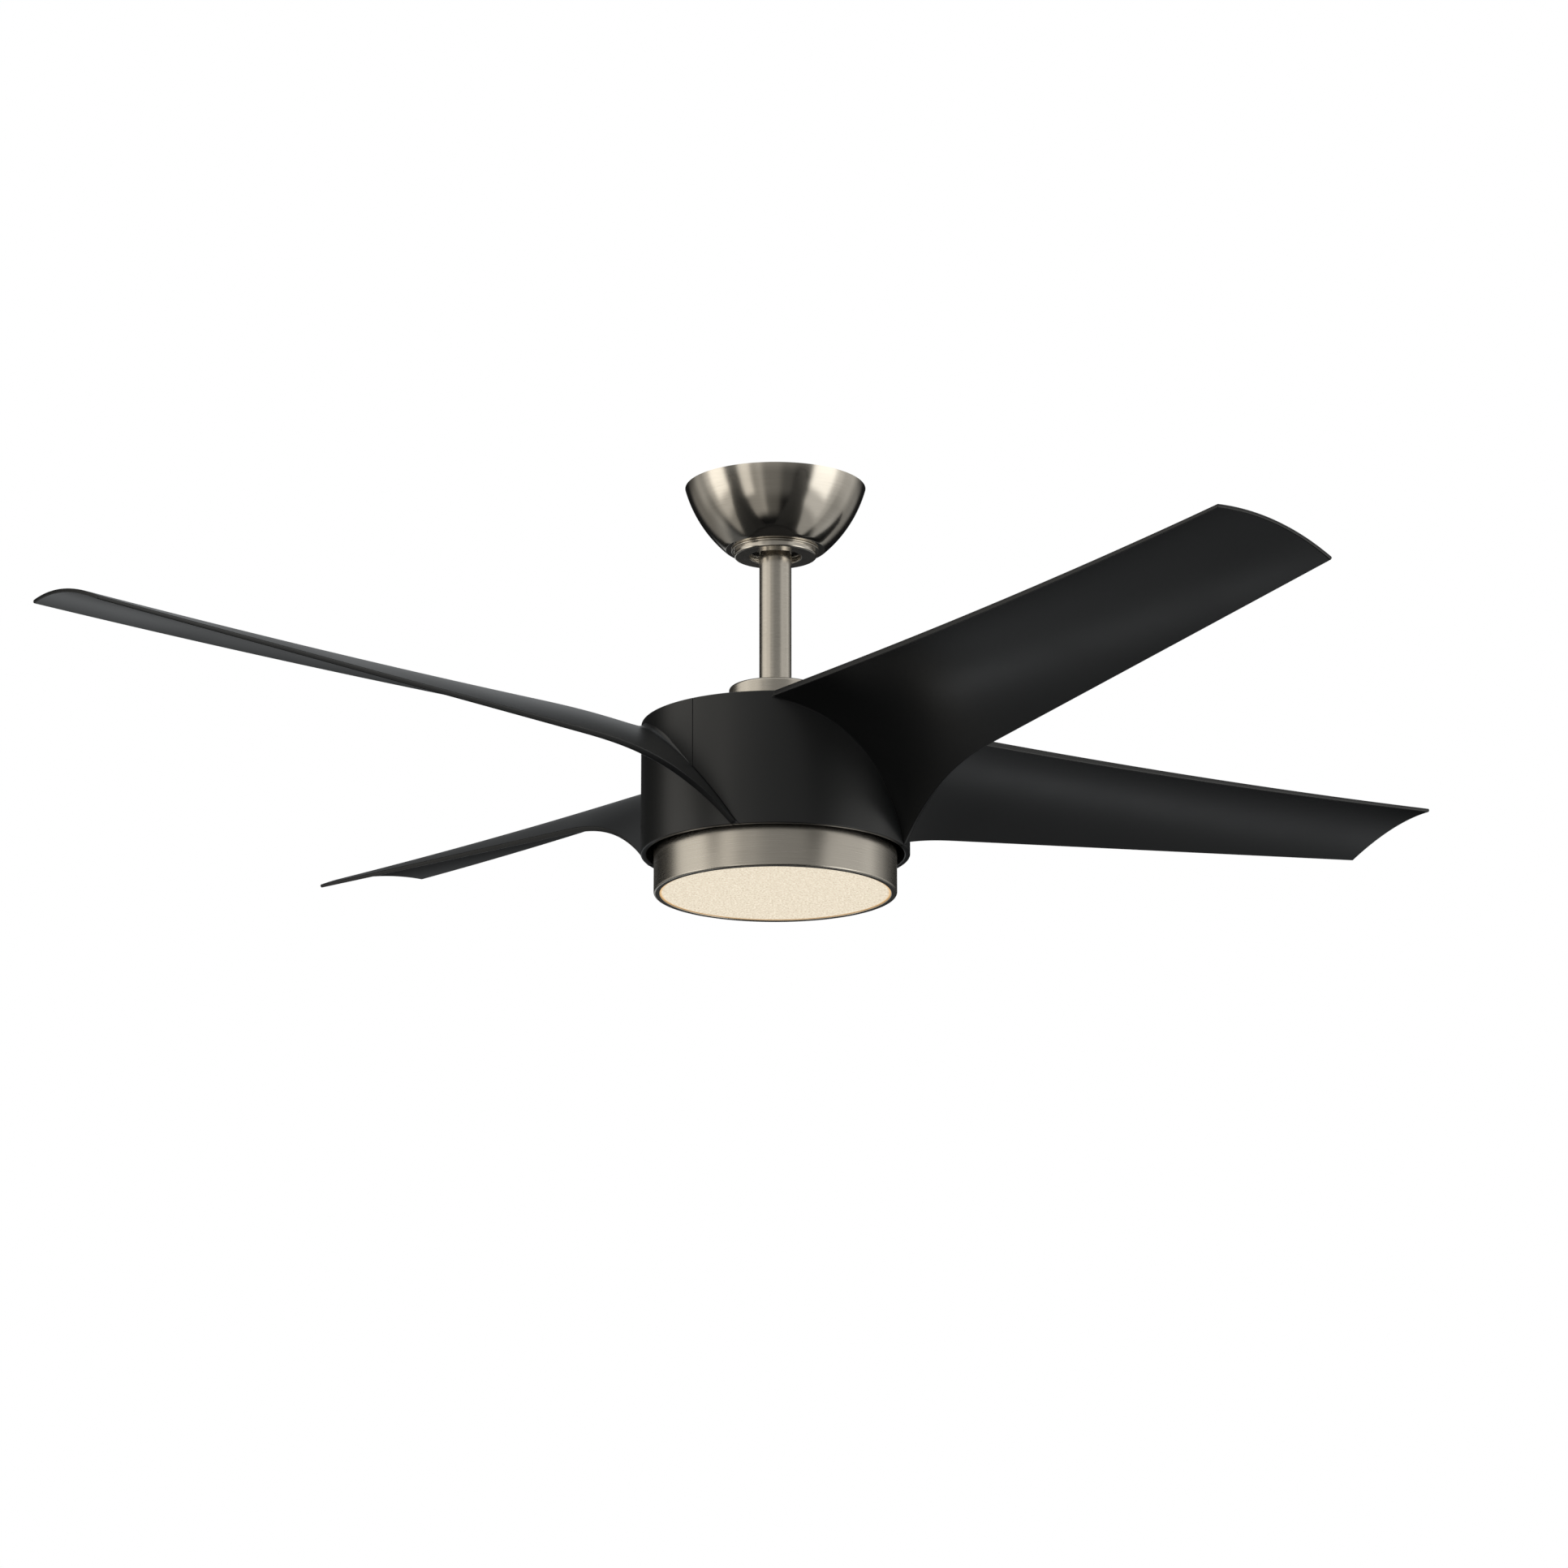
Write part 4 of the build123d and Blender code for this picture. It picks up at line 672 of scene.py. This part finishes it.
def blade_shell():
    """Blade from just inside the wall to the tip arc, with fillets at the wall and rounded edges.

    The upper and lower skins lie half a thickness along the section's normal from the middle
    surface. Near an edge they fall as a quarter circle, and near the wall they rise as one.
    """
    chord = 0.12
    v = edge_steps(chord, EDGE_ROUND, 58) / chord
    start = limit_span(v, HOUSING_R - 0.002)
    end = limit_span(v, SWEEP_R)
    length = (end - start).mean()
    root_near = np.array([0, 0.0010, 0.0018, 0.00205, 0.0024, 0.003, 0.004, 0.0055, 0.0075,
                          0.0100, 0.0130])
    tip_near = length - EDGE_ROUND * np.array([2.2, 1.4, 1.0, 0.75, 0.5, 0.25, 0.08, 0.0])
    bend = np.linspace(0, 1, 120)[1:-1] ** 1.25
    body = root_near[-1] + (tip_near[0] - root_near[-1]) * bend
    along = np.concatenate([root_near, body, tip_near])
    s = (along / length)[:, None]
    x = start + (end - start) * s
    y, z, slope = blade_middle(x, v[None, :] + 0 * x)
    tilt = np.sqrt(1 + slope**2)
    half = blade_thick(x) / 2
    lead_y, _, trail_y, _, _ = lead_and_trail(x)
    wide = (trail_y - lead_y) * tilt
    fall = edge_fall(v * wide, EDGE_ROUND) + edge_fall((1 - v) * wide, EDGE_ROUND)
    fall = fall + edge_fall(SWEEP_R - np.hypot(x, y), EDGE_ROUND)
    from_wall = np.hypot(x, y) - HOUSING_R
    turned = np.arctan2(y, x)
    seam_fade = np.clip((SEAM - turned) / radians(26), 0, 1) ** 1.3
    below_rim = np.clip((housing_top - z - 0.0040) / 0.0080, 0, 1)
    skins = []
    for side, fillet in ((1, UPPER_FILLET * seam_fade * below_rim),
                         (-1, LOWER_FILLET + 0 * seam_fade)):
        fillet = fillet + 1e-6
        near = np.clip(fillet - from_wall, 0, fillet)
        swell = fillet - np.sqrt(np.clip(fillet**2 - near**2, 0, None))
        offset = side * (np.minimum(half - fall, half) + swell)
        skin_z = np.maximum(z + offset / tilt, housing_top - HOUSING_H)
        skins.append(np.stack([x, y - offset * slope / tilt, skin_z], 2))
    return slab(skins[0], skins[1])


def root_line(count):
    """Where the blade's upper skin meets the wall: angle and height, from the seam down."""
    angle = np.linspace(SEAM - radians(3), radians(44), count)
    x = HOUSING_R * np.cos(angle)
    y = HOUSING_R * np.sin(angle)
    lead_y, _, trail_y, _, _ = lead_and_trail(x)
    v = (y - lead_y) / (trail_y - lead_y)
    _, z, slope = blade_middle(x, v)
    return angle, z + blade_thick(x) / 2 * np.sqrt(1 + slope**2)


def wall_shell():
    """Quarter of the housing wall: a grid over height and angle, bent round the axis.

    Each row runs from the seam behind to the seam in front. Below the point where a seam meets
    a blade, the row ends on that blade's root line.
    """
    height = edge_steps(HOUSING_H, EDGE_ROUND, 70)
    z = (housing_top - height)[:, None]
    angle, line = root_line(60)
    front = np.maximum(SEAM, np.interp(-z, -line, angle))
    share = 2 * pi / BLADE_COUNT
    gap = SEAM_GAP / HOUSING_R
    back = front - share + gap * 1.5
    front = front - gap * 0.5
    width = 0.165
    across = (edge_steps(width, EDGE_ROUND * 0.3, 90) / width)[None, :]
    turn = back + (front - back) * across
    half = HOUSING_WALL / 2
    drop = edge_fall(height, EDGE_ROUND) + edge_fall(HOUSING_H - height, EDGE_ROUND)
    sides = edge_fall(across * width, EDGE_ROUND * 0.3)
    sides = sides + edge_fall((1 - across) * width, EDGE_ROUND * 0.3)
    thin = half - np.minimum(drop[:, None] + sides, half)
    middle = HOUSING_R - half
    skins = []
    for side in (1, -1):
        r = middle + side * thin
        skins.append(np.stack([r * np.cos(turn), r * np.sin(turn), z + 0 * turn], 2))
    return slab(skins[0], skins[1])


def flange_shell():
    """Flat quarter ring that bolts to the rotor lid, a grid over radius and angle."""
    lid_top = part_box("rotor_lid")[1].z
    r = np.linspace(FLANGE_IN, HOUSING_R - HOUSING_WALL / 2, 12)[:, None]
    share = 2 * pi / BLADE_COUNT
    turn = np.linspace(SEAM - share + 0.006, SEAM - 0.006, 40)[None, :]
    flat = np.stack([r * np.cos(turn), r * np.sin(turn), lid_top + 0 * r * turn], 2)
    return slab(flat + np.array([0, 0, FLANGE_T]), flat)


def post_shell():
    """Boss on the flange that the top plate is screwed to."""
    lid_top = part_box("rotor_lid")[1].z
    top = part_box("top_plate")[0].z
    outline = rounded_outline([
        (0.005, top, 0.0003), (0.005, lid_top, 0), (0.0015, lid_top, 0), (0.0015, top, 0)], 3)
    points, quads = lathe_grid(outline, 32)
    middle = SEAM - pi / BLADE_COUNT
    return points + POST_R * np.array([np.cos(middle), np.sin(middle), 0]), quads


def gathered(shells):
    """One array of points and one of quads from several closed shells."""
    points, quads, base = [], [], 0
    for p, q in shells:
        points.append(p)
        quads.append(q + base)
        base += len(p)
    return np.concatenate(points), np.concatenate(quads)


def black_plastic_material():
    """Satin black moulded plastic: faint cloudy tone, fine moulded grain."""
    made = grained("blade_plastic", (0.0125, 0.0134, 0.0142), (0.0155, 0.0165, 0.0176), 0.0,
                   (0.30, 0.37), 3400, 7, 0.000008)
    made.node_tree.nodes["Principled BSDF"].inputs["IOR"].default_value = 1.5
    return made


blade_plastic = black_plastic_material()
moulding_points, moulding_quads = gathered(
    [blade_shell(), wall_shell(), flange_shell(), post_shell()])
for index in range(BLADE_COUNT):
    t = FIRST_BLADE + 2 * pi * index / BLADE_COUNT
    spin = np.array([[np.cos(t), np.sin(t), 0], [-np.sin(t), np.cos(t), 0], [0, 0, 1]])
    moulding = make_mesh(f"blade_moulding_{index + 1}", moulding_points @ spin, moulding_quads,
                         blade_plastic)
    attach(moulding, "rotor")
    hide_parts(f"blade_{index + 1}")


# ---------------------------------------------------------------- top plate and screws
# A black pressed disc closes the housing from above, held by one screw in each moulding.
black_screw = grained("black_screw", (0.02, 0.02, 0.021), (0.03, 0.03, 0.03), 0.8, (0.35, 0.5))
plate_black = grained("plate_black", (0.016, 0.016, 0.017), (0.022, 0.022, 0.023), 0.2,
                      (0.42, 0.52), 1600, 12, 0.00003)
finish_nodes(plate_black, "top_plate")
finish_nodes(black_screw, "top_plate_screws", "blade_screws")


# ---------------------------------------------------------------- light ring
# A spun nickel ring that hangs still inside the turning wall. Its brushed side stands out
# below the wall, and its bottom edge turns in as a rounded lip around the lens.
ring_low, ring_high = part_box("light_ring")
ring_r = ring_high.x
RING_WALL = 0.0016
RING_LIP = 0.0050
RING_LIP_T = 0.0020
UPSTAND_H = 0.0106
UPSTAND_T = 0.0015
RING_FLANGE_IN = 0.056
ring_outline = rounded_outline([
    (ring_r, ring_high.z, 0.0006), (ring_r, ring_low.z, 0.0016),
    (ring_r - RING_LIP, ring_low.z, 0.0005),
    (ring_r - RING_LIP, ring_low.z + UPSTAND_H, 0.0003),
    (ring_r - RING_LIP + UPSTAND_T, ring_low.z + UPSTAND_H, 0.0003),
    (ring_r - RING_LIP + UPSTAND_T, ring_low.z + RING_LIP_T, 0.0003),
    (ring_r - RING_WALL, ring_low.z + RING_LIP_T, 0.0006),
    (ring_r - RING_WALL, ring_high.z - RING_WALL, 0.0006),
    (RING_FLANGE_IN, ring_high.z - RING_WALL, 0.0003),
    (RING_FLANGE_IN, ring_high.z, 0.0003)])
light_ring = lathe("light_ring_shell", ring_outline, ring_nickel)
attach(light_ring, "hanging")
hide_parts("light_ring")


# ---------------------------------------------------------------- LED board and driver
# An aluminium plate cools a white board with three rings of LEDs. The driver's white case
# sits on top of the plate, held by two clips.
board_white = grained("board_white", (0.78, 0.79, 0.78), (0.86, 0.87, 0.86), 0.0, (0.3, 0.4))
heat_sheet = grained("heat_sheet", (0.6, 0.6, 0.61), (0.7, 0.7, 0.7), 1.0, (0.3, 0.45), 1200, 20)
driver_paint = grained("driver_paint", (0.7, 0.7, 0.69), (0.8, 0.8, 0.79), 0.0, (0.4, 0.5))
phosphor = grained("phosphor", (0.75, 0.55, 0.1), (0.9, 0.7, 0.18), 0.0, (0.5, 0.6))
finish_nodes(board_white, "led_board")
finish_nodes(heat_sheet, "heat_plate")
finish_nodes(driver_paint, "led_driver")
finish_nodes(phosphor, "led_chips")


# ---------------------------------------------------------------- lens
# Frosted acrylic disc, lit from behind: warm cream with a fine speckle, and a deeper orange
# where the light leaves its rim. Three tabs on its skirt lock over the ring's upstand.
lens_low, lens_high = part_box("lens")
lens_r = ring_r - RING_LIP - 0.0003
LENS_T = 0.0022
LENS_SKIRT_R = 0.0920
LENS_SKIRT_WALL = 0.0018
TAB_COUNT = 3
TAB_HALF = radians(6)
TAB_T = 0.0020


def lens_material():
    """Frosted, glowing acrylic: emission with a speckle, turning orange near the rim."""
    made = bpy.data.materials.new("frosted_lens")
    made.use_nodes = True
    tree = made.node_tree
    skin = tree.nodes["Principled BSDF"]
    skin.inputs["Roughness"].default_value = 0.55
    skin.inputs["Emission Strength"].default_value = 1.0
    place = coordinates(tree)
    split = tree.nodes.new("ShaderNodeSeparateXYZ")
    tree.links.new(place, split.inputs[0])
    x, y, _ = split.outputs
    radius = math_node(tree, "SQRT", math_node(
        tree, "ADD", math_node(tree, "MULTIPLY", x, x), math_node(tree, "MULTIPLY", y, y)))
    rim = tree.nodes.new("ShaderNodeMapRange")
    rim.interpolation_type = "SMOOTHSTEP"
    tree.links.new(radius, rim.inputs["Value"])
    rim.inputs["From Min"].default_value = lens_r - 0.0024
    rim.inputs["From Max"].default_value = lens_r - 0.0002
    stretch = tree.nodes.new("ShaderNodeVectorMath")
    stretch.operation = "MULTIPLY"
    stretch.inputs[1].default_value = (1.0, 0.5, 1.0)
    tree.links.new(place, stretch.inputs[0])
    speckle = tree.nodes.new("ShaderNodeTexNoise")
    speckle.inputs["Scale"].default_value = 620.0
    speckle.inputs["Detail"].default_value = 4.0
    speckle.inputs["Roughness"].default_value = 0.7
    tree.links.new(stretch.outputs[0], speckle.inputs["Vector"])
    dots = tinted(tree, speckle.outputs["Fac"], (0.58, 0.495, 0.37), (1.0, 0.905, 0.74))
    glow = tree.nodes.new("ShaderNodeMix")
    glow.data_type = "RGBA"
    glow.inputs["B"].default_value = (0.78, 0.50, 0.24, 1)
    tree.links.new(rim.outputs["Result"], glow.inputs["Factor"])
    tree.links.new(dots, glow.inputs["A"])
    tree.links.new(glow.outputs["Result"], skin.inputs["Emission Color"])
    skin.inputs["Base Color"].default_value = (0.16, 0.14, 0.11, 1)
    bump = tree.nodes.new("ShaderNodeBump")
    bump.inputs["Distance"].default_value = 0.00003
    tree.links.new(speckle.outputs["Fac"], bump.inputs["Height"])
    tree.links.new(bump.outputs["Normal"], skin.inputs["Normal"])
    return made


def lens_disc_outline():
    """Half outline of the disc and its skirt, from the axis out and back."""
    face = lens_low.z
    top = face + LENS_T
    rim = lens_high.z
    inner = LENS_SKIRT_R - LENS_SKIRT_WALL
    corners = [(lens_r, face, 0.0008), (lens_r, top, 0.0003), (LENS_SKIRT_R, top, 0.0003),
               (LENS_SKIRT_R, rim, 0.0004), (inner, rim, 0.0004), (inner, top, 0.0004)]
    return rounded_outline([(0.001, face, 0), *corners, (0.001, top, 0)])


def tab_shells():
    """Three short curved tabs round the skirt, grids over radius and angle."""
    shells = []
    base = lens_high.z - TAB_T
    for index in range(TAB_COUNT):
        r = np.linspace(LENS_SKIRT_R - 0.0005, ring_r - RING_WALL - 0.0005, 6)[:, None]
        turn = 2 * pi * index / TAB_COUNT + np.linspace(-TAB_HALF, TAB_HALF, 10)[None, :]
        flat = np.stack([r * np.cos(turn), r * np.sin(turn), base + 0 * r * turn], 2)
        shells.append(slab(flat + np.array([0, 0, TAB_T]), flat))
    return shells


disc_points, disc_quads = lathe_grid(lens_disc_outline(), 240)
inner_ring = np.hypot(disc_points[:, 0], disc_points[:, 1]) < 0.0015
disc_points[inner_ring, :2] = 0
lens_points, lens_quads = gathered([(disc_points, disc_quads), *tab_shells()])
lens = make_mesh("lens_disc", lens_points, lens_quads, lens_material())
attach(lens, "lens")
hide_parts("lens")
